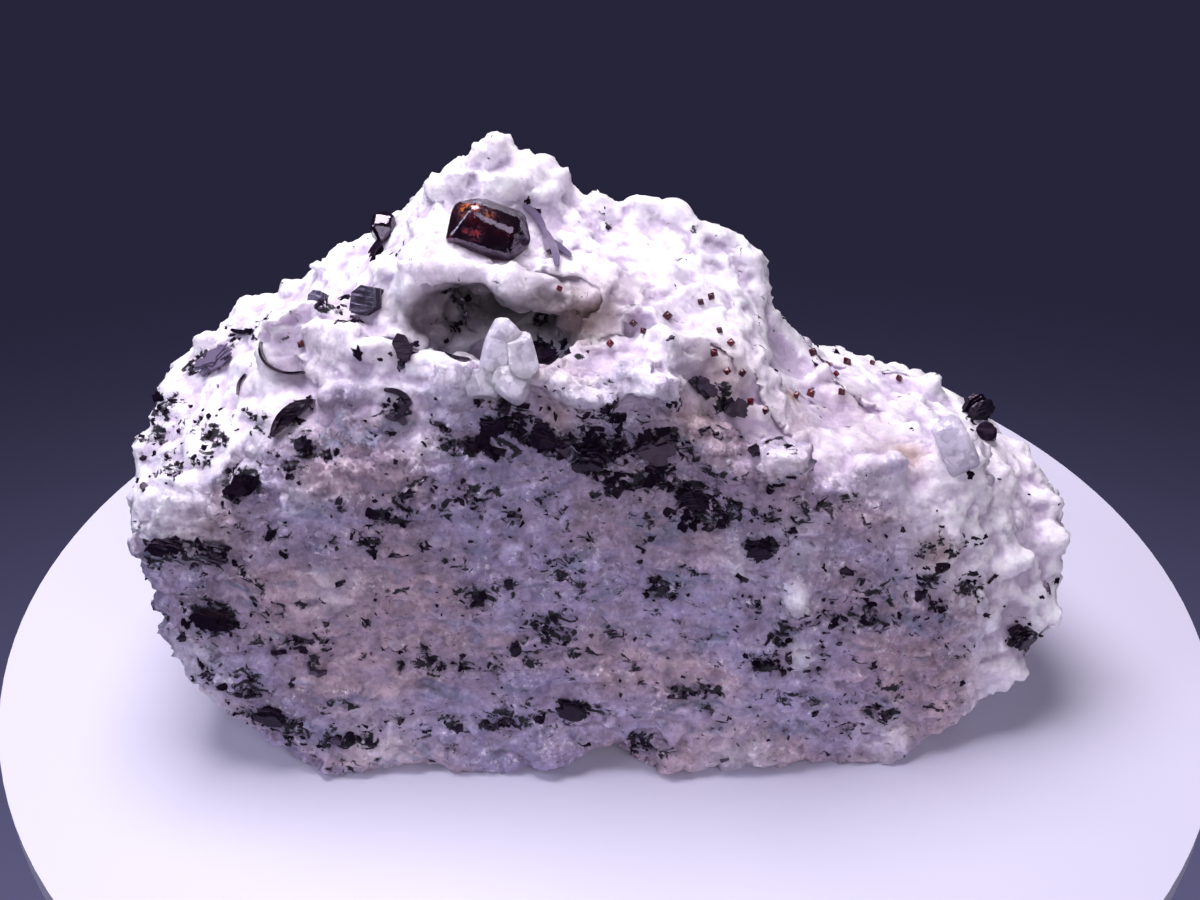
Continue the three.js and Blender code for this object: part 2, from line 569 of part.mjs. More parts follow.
/** Biotite books: size is length, width and thickness. */
const BOOKS = {
  hexagon_large: { at: [-10.1, -2.4, 18.7], size: [1.9, 1.6, 0.9], turn: 20, tilt: 25, raise: 0.35 },
  hexagon_small: { at: [-13.2, -0.4, 18.1], size: [1.1, 1, 0.6], turn: 10, tilt: 20, raise: 0.2 },
  oval: { at: [-8.8, -5.1, 18.2], size: [1.7, 1.1, 0.6], turn: -60, tilt: 30, raise: 0.2 },
  fork_upper: { at: [-2.9, 0.3, 22.1], size: [1.9, 0.6, 0.45], turn: -50, raise: 0.12 },
  fork_lower: { at: [-1.8, -1.3, 21], size: [2, 0.75, 0.45], turn: -62, raise: 0.12 },
  skyline_blade: { at: [-10.4, 1.1, 20], size: [1.5, 0.6, 0.45], turn: 60, raise: 0.12 },
  hollow_plate: { at: [-2.6, -4.2, 17.8], size: [2.6, 2, 0.6], turn: -30, tilt: 30, raise: 0.15 },
  cluster_left: { at: [4.6, -6.5, 17.1], size: [1.7, 0.9, 0.7], turn: -45, raise: 0.2 },
  cluster_right: { at: [5.9, -6.7, 16.2], size: [1.4, 1, 0.8], turn: -20, raise: 0.25 },
  corner_top: { at: [18.6, -0.1, 12.2], size: [1.3, 1.1, 1.2], turn: 30, raise: 0.3 },
  corner_low: { at: [18.6, -2, 11.7], size: [1.2, 0.9, 0.8], turn: -40, raise: 0.2 },
  grey_plate: { at: [-18.3, -1.4, 15.4], size: [2.6, 1.5, 0.5], turn: 10, tilt: 10, raise: 0.15 },
  glossy: { at: [7, -9.8, 10.8], size: [1.6, 1.1, 0.7], turn: 15, tilt: 10, raise: 0.15 },
  streak_left: { at: [-19.5, -9.3, 10.5], size: [2.3, 0.9, 0.7], turn: -5, raise: 0.05 },
  streak_right: { at: [-17.2, -9.5, 10.3], size: [1.9, 0.8, 0.7], turn: -8, raise: 0.05 },
  patch_left: { at: [-17.6, -10.5, 7.3], size: [2.5, 1.4, 0.7], turn: -10, raise: 0.05 },
  border_1: { at: [-4.6, -7.9, 16], size: [1.9, 1.1, 0.8], turn: -15, raise: 0.1 },
  border_2: { at: [-2.4, -8.5, 15.6], size: [2.1, 1.2, 0.8], turn: -20, raise: 0.1 },
  border_3: { at: [-0.2, -8.6, 14.8], size: [1.9, 1, 0.8], turn: -12, raise: 0.1 },
  border_4: { at: [2.4, -8.5, 15.1], size: [2.3, 1.4, 0.8], turn: 10, raise: 0.1 },
  border_5: { at: [4.1, -9.1, 12.9], size: [2, 1.1, 0.7], turn: -20, raise: 0.05 },
  right_low: { at: [19.9, -8.5, 4.7], size: [1.3, 1, 0.8], turn: 10, raise: 0.1 },
  foot_left: { at: [-15.2, -12, 2.8], size: [1.9, 0.9, 0.6], turn: -8, raise: 0.05 },
  foot_middle: { at: [-1.3, -12, 3.2], size: [1.7, 0.8, 0.6], turn: -10, raise: 0.05 },
  left_cluster: { at: [-16, -8.8, 13.4], size: [1.9, 1.3, 0.8], turn: 45, raise: 0.15 },
  left_dot: { at: [-13, -8, 15.1], size: [1, 0.9, 0.6], turn: 10, raise: 0.15 },
  back_left: { at: [-8, 13, 6], size: [2.2, 1.3, 0.7], turn: 12, raise: 0.1 },
  back_right: { at: [9, 12.5, 5], size: [2.4, 1.1, 0.7], turn: -8, raise: 0.1 },
  back_top: { at: [-12, 8, 13], size: [1.7, 1.2, 0.7], turn: 25, raise: 0.15 },
};
Object.entries(BOOKS).forEach(([name, { size, ...lie }], n) => {
  const parts = book({ size, seed: n + 1 });
  const pocket = [hullAround(parts)];
  setCrystal({ name: `biotite_${name}`, parts, material: BIOTITE, pocket }, lie);
});

/** Biotite blades bent round grains of the rock. */
const BENT_BLADES = {
  bent_blade: {
    shape: { radius: 1.7, width: 0.6, thickness: 0.5, sweep: 75 },
    lie: { at: [-13.7, -6.7, 15.8], turn: 40, raise: 0.1 },
  },
  crescent: {
    shape: { radius: 1, width: 0.5, thickness: 0.5, sweep: 120 },
    lie: { at: [-8.6, -6.9, 16.5], turn: -60, raise: 0.1 },
  },
};
for (const [name, { shape, lie }] of Object.entries(BENT_BLADES)) {
  setCrystal({ name: `biotite_${name}`, parts: bentBlade(shape), material: BIOTITE }, lie);
}

// ---------------------------------------------------------------- the whole specimen

const matrix = new THREE.Mesh(withoutShortEdges(geometryOf(matrixSolid), SHORTEST_EDGE), ALBITE);
matrix.name = "matrix";
specimen.add(matrix);

// The origin goes under the middle of the bounding box.
const middle = new THREE.Box3().setFromObject(specimen).getCenter(new THREE.Vector3());
specimen.position.set(-middle.x, -middle.y, 0);

export default specimen;
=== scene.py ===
"""The looks of a pyrochlore specimen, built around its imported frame.

A broken block of white, sugary albite rock holds red-brown pyrochlore crystals, black biotite books
and many thin biotite flakes. Lengths in the settings are in millimetres, and everything in Blender
is in metres, in the frame's own axes.
"""

import json
import math

import bmesh
import bpy
import numpy as np
from bpy.props import FloatProperty, FloatVectorProperty, IntProperty, PointerProperty
from mathutils import Euler, Matrix, Vector, noise
from mathutils.bvhtree import BVHTree
from mathutils.kdtree import KDTree

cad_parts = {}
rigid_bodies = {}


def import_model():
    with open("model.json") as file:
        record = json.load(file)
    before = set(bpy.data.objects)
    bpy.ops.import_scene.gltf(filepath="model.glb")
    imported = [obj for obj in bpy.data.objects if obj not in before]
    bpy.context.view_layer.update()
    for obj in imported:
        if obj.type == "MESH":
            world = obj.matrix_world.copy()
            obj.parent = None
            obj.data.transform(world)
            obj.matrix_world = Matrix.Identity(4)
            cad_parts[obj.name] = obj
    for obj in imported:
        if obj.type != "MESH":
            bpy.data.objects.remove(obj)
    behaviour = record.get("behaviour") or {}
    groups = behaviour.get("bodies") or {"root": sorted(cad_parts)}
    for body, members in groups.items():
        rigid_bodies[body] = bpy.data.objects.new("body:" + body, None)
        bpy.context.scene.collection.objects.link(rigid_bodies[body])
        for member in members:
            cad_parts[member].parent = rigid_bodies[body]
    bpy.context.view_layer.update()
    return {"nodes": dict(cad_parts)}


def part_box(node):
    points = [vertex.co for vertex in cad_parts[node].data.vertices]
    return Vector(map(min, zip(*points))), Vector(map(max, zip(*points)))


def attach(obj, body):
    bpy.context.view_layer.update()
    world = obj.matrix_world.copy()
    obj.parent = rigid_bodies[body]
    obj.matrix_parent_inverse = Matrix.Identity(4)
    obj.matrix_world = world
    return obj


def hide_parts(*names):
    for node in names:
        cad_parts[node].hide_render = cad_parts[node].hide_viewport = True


bl_info = {
    "name": "Pyrochlore Specimen",
    "version": (1, 0, 0),
    "blender": (4, 5, 0),
    "location": "3D View > Sidebar > Specimen",
    "description": "Builds the looks of a pyrochlore specimen in albite rock around its frame",
    "category": "Object",
}

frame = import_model()

MM = 0.001  # one millimetre, in metres
BODY = "root"

# The picture that the camera frames, in pixels, and where it is taken from.
PICTURE_WIDTH, PICTURE_HEIGHT = 1200, 900
LENS, SENSOR = 45.0, 36.0  # mm
CAMERA_PLACE = Vector((-0.36, -63.18, 50.8)) * MM
CAMERA_TILT = math.radians(33)  # how far it looks down

# The front fracture face: where it meets the ground, and how far it leans back as it rises.
FACE_FOOT = -12.88 * MM
FACE_LEAN = 0.32

# The hollow under the peak's lip: its middle and its half sizes.
HOLLOW_PLACE = Vector((-4.6, -1.2, 18.9)) * MM
HOLLOW_SIZE = Vector((6.2, 4.6, 2.2)) * MM

CLEAR_CRYSTALS = ("pyrochlore_main", "pyrochlore_left")


# ------------------------------------------------------------------------------- settings


def length(name, description, default):
    """A length setting, in millimetres."""
    return FloatProperty(name=name, description=description, default=default, min=0.0, unit="NONE")


def colour(name, description, default):
    """A colour setting."""
    return FloatVectorProperty(
        name=name, description=description, default=default, subtype="COLOR", size=3, min=0, max=1
    )


class RockSettings(bpy.types.PropertyGroup):
    """Sizes and colours of the albite rock."""

    cell: length("Surface cell", "Edge of the cells that the rock's surface is made from, mm", 0.21)
    most_triangles: IntProperty(name="Triangles", description="Most triangles", default=196000)
    grain_spacing: length("Grain spacing", "Distance between sugary grains, mm", 0.85)
    grain_radius: length("Grain radius", "Radius of the largest sugary grains, mm", 0.9)
    loose_grains: IntProperty(name="Loose grains", description="Clear grains on the slopes", default=60)
    facet_size: length("Facet size", "Size of the cleavage facets on a fracture, mm", 1.15)
    facet_tilt: FloatProperty(name="Facet tilt", description="Slope of the facets", default=0.3)
    dome_size: length("Dome size", "Size of the grains melted into the slopes, mm", 1.3)
    dome_height: length("Dome height", "Height of those grains, mm", 0.3)
    ripple: length("Ripple", "Height of the finest unevenness, mm", 0.09)
    # White and lilac are partly the rock's own colours and partly painted light and shade: white on the lit
    # upper slopes, lilac on the shaded fracture faces.
    white: colour("White", "Clean albite of the upper slopes", (0.90, 0.85, 0.96))
    lilac: colour("Lilac", "Albite of the fracture faces", (0.395, 0.33, 0.525))
    pink: colour("Pink", "Warm albite", (0.46, 0.33, 0.41))
    # Painted shade, with some real warm tint: the rose of slopes that turn down or lie under ridges.
    rose_shade: colour("Rose", "Warm, shaded albite of the slopes", (0.50, 0.40, 0.47))
    slate: colour("Slate", "Blue-grey patches of the fracture faces", (0.20, 0.21, 0.33))
    # Smoke is the mica seen under the surface, and also painted shade in the shaded spots of the front face.
    smoke_and_shade: colour("Smoke", "Albite with mica under its surface", (0.145, 0.115, 0.21))
    stain: colour("Stain", "Brown iron stain", (0.36, 0.22, 0.15))
    # Painted shade deep in the hollow.
    shade: colour("Shade", "Albite deep in the hollow", (0.105, 0.082, 0.098))
    # Painted shade in the recesses between grains.
    recess_shade: colour("Recess", "Albite in the recesses between grains", (0.44, 0.34, 0.50))


class MicaSettings(bpy.types.PropertyGroup):
    """Sizes and colours of the biotite."""

    flakes: IntProperty(name="Flakes", description="Scattered flakes", default=1500)
    smallest: length("Smallest flake", "Width of the smallest flake, mm", 0.22)
    largest: length("Largest flake", "Width of the largest flake, mm", 1.2)
    black: colour("Black", "Colour of the biotite", (0.010, 0.005, 0.013))
    brown: colour("Brown", "Colour of thin biotite", (0.022, 0.012, 0.014))


class PyrochloreSettings(bpy.types.PropertyGroup):
    """Looks of the pyrochlore crystals."""

    worn_edge: length("Worn edge", "Radius of the worn edges of the largest crystal, mm", 0.24)
    tint: colour("Tint", "Light that the crystal lets through", (0.80, 0.17, 0.03))
    density: FloatProperty(name="Density", description="Absorption per metre", default=4200.0)


class StageSettings(bpy.types.PropertyGroup):
    """The floor and the light."""

    floor_radius: length("Floor radius", "Radius of the round floor, mm", 31.0)
    floor_colour: colour("Floor", "Colour of the floor", (0.60, 0.58, 0.722))


SETTINGS = {
    "specimen_rock": RockSettings,
    "specimen_mica": MicaSettings,
    "specimen_pyrochlore": PyrochloreSettings,
    "specimen_stage": StageSettings,
}


# ------------------------------------------------------------------------------- helpers


def add(tree, kind, inputs=None, **settings):
    """Adds a node to a tree, sets it up, and fills its inputs with values or other nodes' outputs."""
    made = tree.nodes.new(kind)
    for name, value in settings.items():
        setattr(made, name, value)
    for name, value in (inputs or {}).items():
        if isinstance(value, bpy.types.NodeSocket):
            tree.links.new(value, made.inputs[name])
        else:
            made.inputs[name].default_value = value
    return made


def math_node(tree, operation, a, b=0.0, clamp=False):
    """The output of a math node."""
    return add(tree, "ShaderNodeMath", {0: a, 1: b}, operation=operation, use_clamp=clamp).outputs[0]


def vector_node(tree, operation, a, b=(0, 0, 0)):
    """A vector math node."""
    return add(tree, "ShaderNodeVectorMath", {0: a, 1: b}, operation=operation)


def smooth_step(tree, value, low, high, to_low=0.0, to_high=1.0):
    """A value mapped smoothly from one range to another."""
    inputs = {"Value": value, "From Min": low, "From Max": high, "To Min": to_low, "To Max": to_high}
    made = add(tree, "ShaderNodeMapRange", inputs, interpolation_type="SMOOTHSTEP")
    return made.outputs["Result"]


def mixed(tree, factor, a, b):
    """One colour mixed into another by a factor."""
    made = add(tree, "ShaderNodeMix", data_type="RGBA", clamp_factor=True)
    for socket, value in zip((made.inputs["Factor"], made.inputs[6], made.inputs[7]), (factor, a, b)):
        if isinstance(value, bpy.types.NodeSocket):
            tree.links.new(value, socket)
        else:
            socket.default_value = value
    return made.outputs[2]


def rgba(colour_value):
    """A setting's colour with full opacity."""
    return (*colour_value, 1.0)


def geometry_tree(name, inputs):
    """A geometry tree with a mesh going in and out, and named inputs: name to (socket type, default)."""
    tree = bpy.data.node_groups.new(name, "GeometryNodeTree")
    tree.interface.new_socket("Geometry", in_out="INPUT", socket_type="NodeSocketGeometry")
    for label, (kind, default) in inputs.items():
        socket = tree.interface.new_socket(label, in_out="INPUT", socket_type=kind)
        if default is not None:
            socket.default_value = default
    tree.interface.new_socket("Geometry", in_out="OUTPUT", socket_type="NodeSocketGeometry")
    start = tree.nodes.new("NodeGroupInput")
    return tree, start.outputs


def close_tree(tree, geometry, material=None):
    """Ends a geometry tree in Realize Instances and, for a finished piece, Set Material."""
    last = add(tree, "GeometryNodeRealizeInstances", {"Geometry": geometry}).outputs[0]
    if material is not None:
        last = add(tree, "GeometryNodeSetMaterial", {"Geometry": last, "Material": material}).outputs[0]
    end = tree.nodes.new("NodeGroupOutput")
    tree.links.new(last, end.inputs[0])


def run_tree(piece, tree, values=None):
    """Runs a geometry tree on a piece, with its inputs set by their sockets' identifiers."""
    modifier = piece.modifiers.new(tree.name, "NODES")
    modifier.node_group = tree
    identifiers = {
        item.name: item.identifier for item in tree.interface.items_tree if item.in_out == "INPUT"
    }
    for name, value in (values or {}).items():
        modifier[identifiers[name]] = value
    return settled(piece)


def settled(piece):
    """Turns a piece with live modifiers into a plain mesh."""
    graph = bpy.context.evaluated_depsgraph_get()
    mesh = bpy.data.meshes.new_from_object(piece.evaluated_get(graph), depsgraph=graph)
    piece.modifiers.clear()
    old = piece.data
    piece.data = mesh
    bpy.data.meshes.remove(old)
    mesh.name = piece.name
    return piece


def new_piece(name, mesh):
    """A new object in the scene that holds a mesh."""
    piece = bpy.data.objects.new(name, mesh)
    bpy.context.scene.collection.objects.link(piece)
    return piece


def discard(*pieces):
    """Removes helper objects."""
    for piece in pieces:
        bpy.data.objects.remove(piece)


def mesh_of(bm, name):
    """A new mesh from a bmesh, which is freed."""
    mesh = bpy.data.meshes.new(name)
    bm.to_mesh(mesh)
    bm.free()
    return mesh


def merged_copy(node):
    """A bmesh of a frame node with its loose triangles merged."""
    bm = bmesh.new()
    bm.from_mesh(frame["nodes"][node].data)
    bmesh.ops.remove_doubles(bm, verts=bm.verts, dist=0.0005 * MM)
    return bm


def coordinates(mesh):
    """All vertex places of a mesh, as an array."""
    places = np.empty(len(mesh.vertices) * 3, np.float32)
    mesh.vertices.foreach_get("co", places)
    return places.reshape(-1, 3).astype(float)


def smoothstep(value, low, high):
    """0 below low, 1 above high, and a smooth rise between them."""
    share = np.clip((value - low) / (high - low), 0, 1)
    return share * share * (3 - 2 * share)


def grounded(piece):
    """Presses what dips below the ground back up to it."""
    places = coordinates(piece.data)
    places[:, 2] = np.maximum(places[:, 2], 0)
    piece.data.vertices.foreach_set("co", places.astype(np.float32).ravel())
    return piece


def triangle_count(mesh):
    """How many triangles a mesh has."""
    mesh.calc_loop_triangles()
    return len(mesh.loop_triangles)


def line_of_sight(px, py):
    """Where the camera is, and the way to a pixel of its picture."""
    focal = PICTURE_WIDTH * LENS / SENSOR
    across = px - PICTURE_WIDTH / 2
    upward = PICTURE_HEIGHT / 2 - py
    ahead = Vector((0, math.cos(CAMERA_TILT), -math.sin(CAMERA_TILT)))
    up = Vector((0, math.sin(CAMERA_TILT), math.cos(CAMERA_TILT)))
    return CAMERA_PLACE, (ahead * focal + up * upward + Vector((across, 0, 0))).normalized()


def picture_seat(surface, pixel, lift=0, ahead=0.0):
    """Where a thing seen at a pixel is: as far off as the rock so many pixels above it, less a few mm."""
    px, py = pixel
    origin, way = line_of_sight(px, py - lift)
    hit, normal = surface.ray_cast(origin, way)[:2]
    if hit is None:
        middle = Vector((0, 0, 12 * MM))
        hit, normal = surface.find_nearest(origin + way * (middle - origin).dot(way))[:2]
    forward = Vector((0, math.cos(CAMERA_TILT), -math.sin(CAMERA_TILT)))
    depth = (hit - origin).dot(forward) - ahead * MM
    way = line_of_sight(px, py)[1]
    return origin + way * (depth / way.dot(forward)), normal


def material(name):
    """A new node material: the material, its tree and its Principled shader."""
    made = bpy.data.materials.new(name)
    made.use_nodes = True
    tree = made.node_tree
    return made, tree, tree.nodes["Principled BSDF"]


def standing_for(piece, slot, *nodes):
    """Puts a finished piece in the frame: it rides on the body and stands for frame nodes."""
    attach(piece, BODY)
    if nodes:
        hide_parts(*nodes)


# ------------------------------------------------------------------------------- where things are


def crystal_nodes():
    """The names of all frame nodes but the rock."""
    return [name for name in sorted(frame["nodes"]) if name != "matrix"]


def crystals_together():
    """A helper object that holds all the crystals of the frame."""
    bm = bmesh.new()
    for name in crystal_nodes():
        bm.from_mesh(frame["nodes"][name].data)
    bmesh.ops.remove_doubles(bm, verts=bm.verts, dist=0.0005 * MM)
    return new_piece("crystal_guide", mesh_of(bm, "crystal_guide"))


def face_depth(places):
    """How far points lie behind the plane of the front fracture face."""
    return places[:, 1] - FACE_FOOT - FACE_LEAN * places[:, 2]


def sugariness(places):
    """How sugary the rock is at points: 1 on the upper slopes, and 0 on the broken faces below."""
    height = places[:, 2] - 0.18 * places[:, 1] + 0.25 * np.maximum(places[:, 0] - 5 * MM, 0)
    slopes = smoothstep(height, 10.5 * MM, 13.5 * MM) * smoothstep(face_depth(places), 0.2 * MM, 1.8 * MM)
    right_end = smoothstep(places[:, 0], 15 * MM, 19 * MM) * smoothstep(face_depth(places), 0.8 * MM, 2.5 * MM)
    return np.maximum(slopes, 0.9 * right_end)


def hollowness(places):
    """How deep points lie in the hollow: 1 at its middle and 0 outside it."""
    away = (places - np.array(HOLLOW_PLACE)) / np.array(HOLLOW_SIZE)
    return 1 - smoothstep(np.linalg.norm(away, axis=1), 0.75, 1.1)


def near_spots(surface, places, table):
    """How near points lie to named spots on a surface: the spot's strength at its middle, 0 far off."""
    share = np.zeros(len(places))
    for pixel, radius, strength in table.values():
        middle = picture_seat(surface, pixel)[0]
        away = np.linalg.norm(places - np.array(middle), axis=1) / (radius * MM)
        share = np.maximum(share, strength * np.exp(-(away**2)))
    return share


def store(mesh, name, values):
    """Stores a number for each vertex of a mesh, for its material to read."""
    layer = mesh.attributes.get(name) or mesh.attributes.new(name, "FLOAT", "POINT")
    layer.data.foreach_set("value", np.asarray(values, np.float32))


# ------------------------------------------------------------------------------- albite rock


def grain_mesh(seed, subdivisions=4, roundness=0.03, sharpness=36):
    """A mesh of a grain of unit radius: a skewed block with cut corners and melted edges."""
    random = np.random.default_rng(seed)
    bm = bmesh.new()
    bmesh.ops.create_icosphere(bm, subdivisions=subdivisions, radius=1.0)
    sides = [Vector(side) + Vector(random.normal(size=3)) * 0.22 for side in np.vstack((np.eye(3), -np.eye(3)))]
    sides += [Vector(random.normal(size=3)) for _ in range(6)]
    sides = [side.normalized() for side in sides]
    reaches = np.concatenate((random.uniform(0.72, 0.92, size=6), random.uniform(0.85, 1.05, size=6)))
    for vertex in bm.verts:
        way = vertex.co.normalized()
        # A soft minimum of the distances to the flat sides.
        pulls = [(max(way.dot(side), 0.0) / reach) ** sharpness for side, reach in zip(sides, reaches)]
        flat = min(sum(pulls) ** (-1 / sharpness) if sum(pulls) > 0 else 1.15, 1.15)
        vertex.co = way * ((1 - roundness) * flat + 0.85 * roundness)
    return mesh_of(bm, f"grain_{seed}")


def grain_shape(seed):
    """A small grain to scatter."""
    return new_piece(f"grain_{seed}", grain_mesh(seed, 2, 0.25, 18))


def clear_grain_shape(seed):
    """A grain that is seen by itself."""
    return new_piece(f"grain_{seed}", grain_mesh(40 + seed))


def filled_pockets(pocket_reach=0.3 * MM):
    """The rock with most pockets filled in level with its surface, as overlapping closed shells."""
    rock = merged_copy("matrix")
    places = [vertex.co.copy() for vertex in rock.verts]
    graph = bpy.context.evaluated_depsgraph_get()
    for name in crystal_nodes():
        if name in CLEAR_CRYSTALS:
            continue
        surface = BVHTree.FromObject(frame["nodes"][name], graph)
        rim = [place for place in places if surface.find_nearest(place, pocket_reach)[0] is not None]
        if len(rim) < 4:
            continue
        plug = bmesh.new()
        for place in rim:
            plug.verts.new(place)
        hull = bmesh.ops.convex_hull(plug, input=plug.verts)
        bmesh.ops.delete(plug, geom=list(set(hull["geom_interior"] + hull["geom_unused"])), context="VERTS")
        bmesh.ops.recalc_face_normals(plug, faces=plug.faces)
        helper = mesh_of(plug, "plug")
        rock.from_mesh(helper)
        bpy.data.meshes.remove(helper)
    return new_piece("albite_rock", mesh_of(rock, "albite_rock"))


def remeshed(piece, cell):
    """A piece made again as one closed surface of even cells."""
    modifier = piece.modifiers.new("surface", "REMESH")
    modifier.mode = "VOXEL"
    modifier.voxel_size = cell
    return settled(piece)


# Lumps that grow out of the rock: the pixel of the middle, width and height in mm, turn in degrees,
# how many pixels above its middle the rock carries it, and how far it stands forward, in mm.
KNOBS = {
    "lip_tooth": ((408, 284), 1.4, 1.7, 25, 22, 0.1),
    "lip_far_left": ((386, 270), 1.8, 1.2, 0, 16, 0.1),
    "lip_left": ((436, 270), 2.2, 1.1, 0, 18, 0.2),
    "lip_middle": ((462, 272), 1.9, 1.1, 5, 18, 0.3),
    "lip_middle_right": ((488, 274), 1.7, 1.4, 8, 20, 0.3),
    "lip_lump": ((519, 287), 2.7, 1.9, 12, 28, 0.8),
    "lip_lump_right": ((550, 296), 1.9, 1.5, 25, 30, 0.7),
    "lip_right": ((580, 296), 2.2, 1.4, 20, 26, 0.2),
    "hollow_floor": ((424, 328), 2.4, 1.5, 12, -6, 0.3),
    "hollow_floor_right": ((452, 342), 2.0, 0.9, 5, -6, 0.2),
    "hollow_left": ((398, 306), 0.9, 1.6, 0, 0, 0.1),
    "nodule": ((302, 348), 4.2, 2.3, 4, 4, -0.05),
    "nodule_right": ((336, 346), 3.0, 2.7, 0, 4, 0.15),
    "nodule_top": ((322, 322), 3.0, 1.7, 0, 0, 0.2),
    "nodule_bridge": ((378, 352), 2.0, 1.3, 10, 0, 0.2),
    "peak": ((490, 153), 1.8, 1.2, 8, -8, 0),
    "peak_step": ((526, 167), 1.9, 1.2, 8, -8, 0),
    "peak_far_right": ((560, 180), 1.2, 1.4, 0, -8, 0),
    "peak_left": ((462, 172), 1.8, 1.3, -20, -8, 0),
    "peak_low_left": ((440, 186), 1.3, 1.4, 0, -8, 0),
    "peak_face": ((505, 184), 2.2, 1.3, 10, 0, 0.1),
    "peak_face_right": ((545, 196), 1.7, 1.1, 10, 0, 0),
    "shoulder_left": ((600, 206), 1.8, 1.0, 0, 0, 0),
    "shoulder": ((640, 208), 2.0, 1.1, 0, 0, 0),
    "shoulder_step": ((674, 212), 1.5, 1.2, 0, 0, 0),
    "shoulder_right": ((690, 228), 1.2, 1.4, 0, 0, 0),
    "far_shoulder": ((722, 240), 1.9, 1.2, 20, 0, 0),
    "far_shoulder_right": ((742, 258), 1.9, 1.3, 40, 0, 0),
    "far_shoulder_low": ((755, 290), 1.2, 1.4, 0, 0, 0),
    "right_top": ((915, 386), 2.2, 1.1, 20, 0, 0),
    "rim_right": ((581, 366), 1.6, 2.2, 8, -10, 0.3),
    "rim_right_low": ((556, 385), 1.8, 1.7, 15, -6, 0.3),
    "rim_right_foot": ((592, 392), 2.2, 1.5, 5, 0, 0.5),
    "rim_far": ((612, 354), 1.7, 1.4, 15, 0, 0.4),
    "rim_far_low": ((634, 374), 1.9, 1.7, 10, 0, 0.75),
    "rim_end": ((667, 388), 1.7, 1.5, 20, 0, 0.75),
    "rim_middle": ((531, 378), 1.5, 1.5, -15, -6, 0.2),
    "rim_left": ((425, 366), 2.2, 1.3, 0, 0, 0.2),
    "rim_left_low": ((458, 376), 2.0, 1.3, 10, 0, 0.2),
    "terrace_left": ((655, 346), 2.0, 1.5, 0, 0, 0.3),
    "terrace_middle": ((690, 352), 1.9, 1.4, 20, 0, 0.3),
    "terrace_right": ((716, 362), 1.4, 1.2, 20, 0, 0.1),
    "terrace_back": ((640, 318), 1.7, 1.2, 0, 0, 0.1),
    "terrace_end": ((752, 416), 1.6, 1.2, 20, 0, 0.1),
    "below_nodule": ((345, 396), 2.6, 1.4, 0, 0, 0),
    "left_slope": ((300, 290), 1.8, 1.2, 0, 0, 0.1),
    "left_slope_up": ((328, 268), 1.5, 1.1, 0, 0, 0.1),
    "left_slope_top": ((352, 252), 1.4, 1.0, 0, 0, 0),
    "left_skyline": ((246, 318), 1.5, 1.0, 0, 0, 0),
    "left_skyline_low": ((208, 346), 1.4, 1.0, 0, 0, 0),
    "left_skyline_end": ((168, 414), 1.4, 1.2, 0, 0, 0),
    "white_knob": ((797, 601), 1.5, 1.4, 0, 0, 0),
    "ridge_top": ((780, 330), 1.0, 2.0, -39, 0, 0.25),
    "ridge_upper": ((795, 346), 1.0, 2.2, -40, 0, 0.3),
    "ridge_middle": ((810, 364), 1.0, 2.2, -40, 0, 0.3),
    "ridge_lower": ((826, 383), 1.0, 2.2, -40, 0, 0.3),
    "ridge_foot": ((842, 402), 1.0, 2.0, -40, 0, 0.25),
    "right_end": ((1042, 502), 1.5, 1.3, 0, 0, 0),
    "right_end_low": ((1050, 540), 1.5, 1.5, 0, 0, 0),
    "right_face": ((1010, 560), 2.0, 1.5, 0, 0, 0),
    "slab_back": ((955, 468), 3.0, 2.6, 20, 0, 0),
    "slab_low": ((938, 472), 1.4, 1.7, 16, 0, 0.2),
    "white_block": ((784, 460), 2.7, 1.7, -6, 0, 0.4),
    "white_block_left": ((716, 440), 2.2, 1.6, 14, 0, 0.2),
    "white_block_low": ((722, 470), 2.0, 1.3, 24, 0, 0.2),
    "block_right": ((800, 520), 2.4, 1.6, 0, 0, 0),
    "step_right": ((880, 470), 2.6, 1.4, 8, 0, 0),
}


DENTS = {  # places pressed in: pixel of the middle, radius in mm, depth in mm
    "left_crest": ((292, 284), 1.8, 0.5),
    "peak_left": ((462, 152), 1.2, 0.5),
    "shoulder": ((605, 200), 1.2, 0.4),
    "under_nodule": ((312, 384), 2.0, 0.7),
    "under_lip": ((470, 296), 2.2, 0.4),
}


def dented(piece):
    """Presses the named places in."""
    surface = BVHTree.FromObject(piece, bpy.context.evaluated_depsgraph_get())
    places = coordinates(piece.data)
    normals = np.empty(len(piece.data.vertices) * 3, np.float32)
    piece.data.vertices.foreach_get("normal", normals)
    depth = near_spots(surface, places, DENTS) * MM
    places -= normals.reshape(-1, 3) * depth[:, None]
    piece.data.vertices.foreach_set("co", places.astype(np.float32).ravel())


def lean_of(turn):
    """The turn of a lump whose width runs across the picture, turned in the picture's plane."""
    return Euler((-CAMERA_TILT, 0, 0)).to_quaternion() @ Euler((0, math.radians(turn), 0)).to_quaternion()


def add_knobs(piece):
    """Joins the named lumps to the rock, half sunk in it."""
    surface = BVHTree.FromObject(piece, bpy.context.evaluated_depsgraph_get())
    bm = bmesh.new()
    bm.from_mesh(piece.data)
    for seed, (pixel, width, height, turn, lift, ahead) in enumerate(KNOBS.values()):
        place = picture_seat(surface, pixel, lift, ahead)[0]
        size = Vector((width, 0.9 * min(width, height), height)) * 0.58 * MM
        lump = grain_mesh(seed)
        lie = Matrix.LocRotScale(place, lean_of(turn), size)
        lump.transform(lie)
        bm.from_mesh(lump)
        bpy.data.meshes.remove(lump)
    bm.to_mesh(piece.data)
    bm.free()


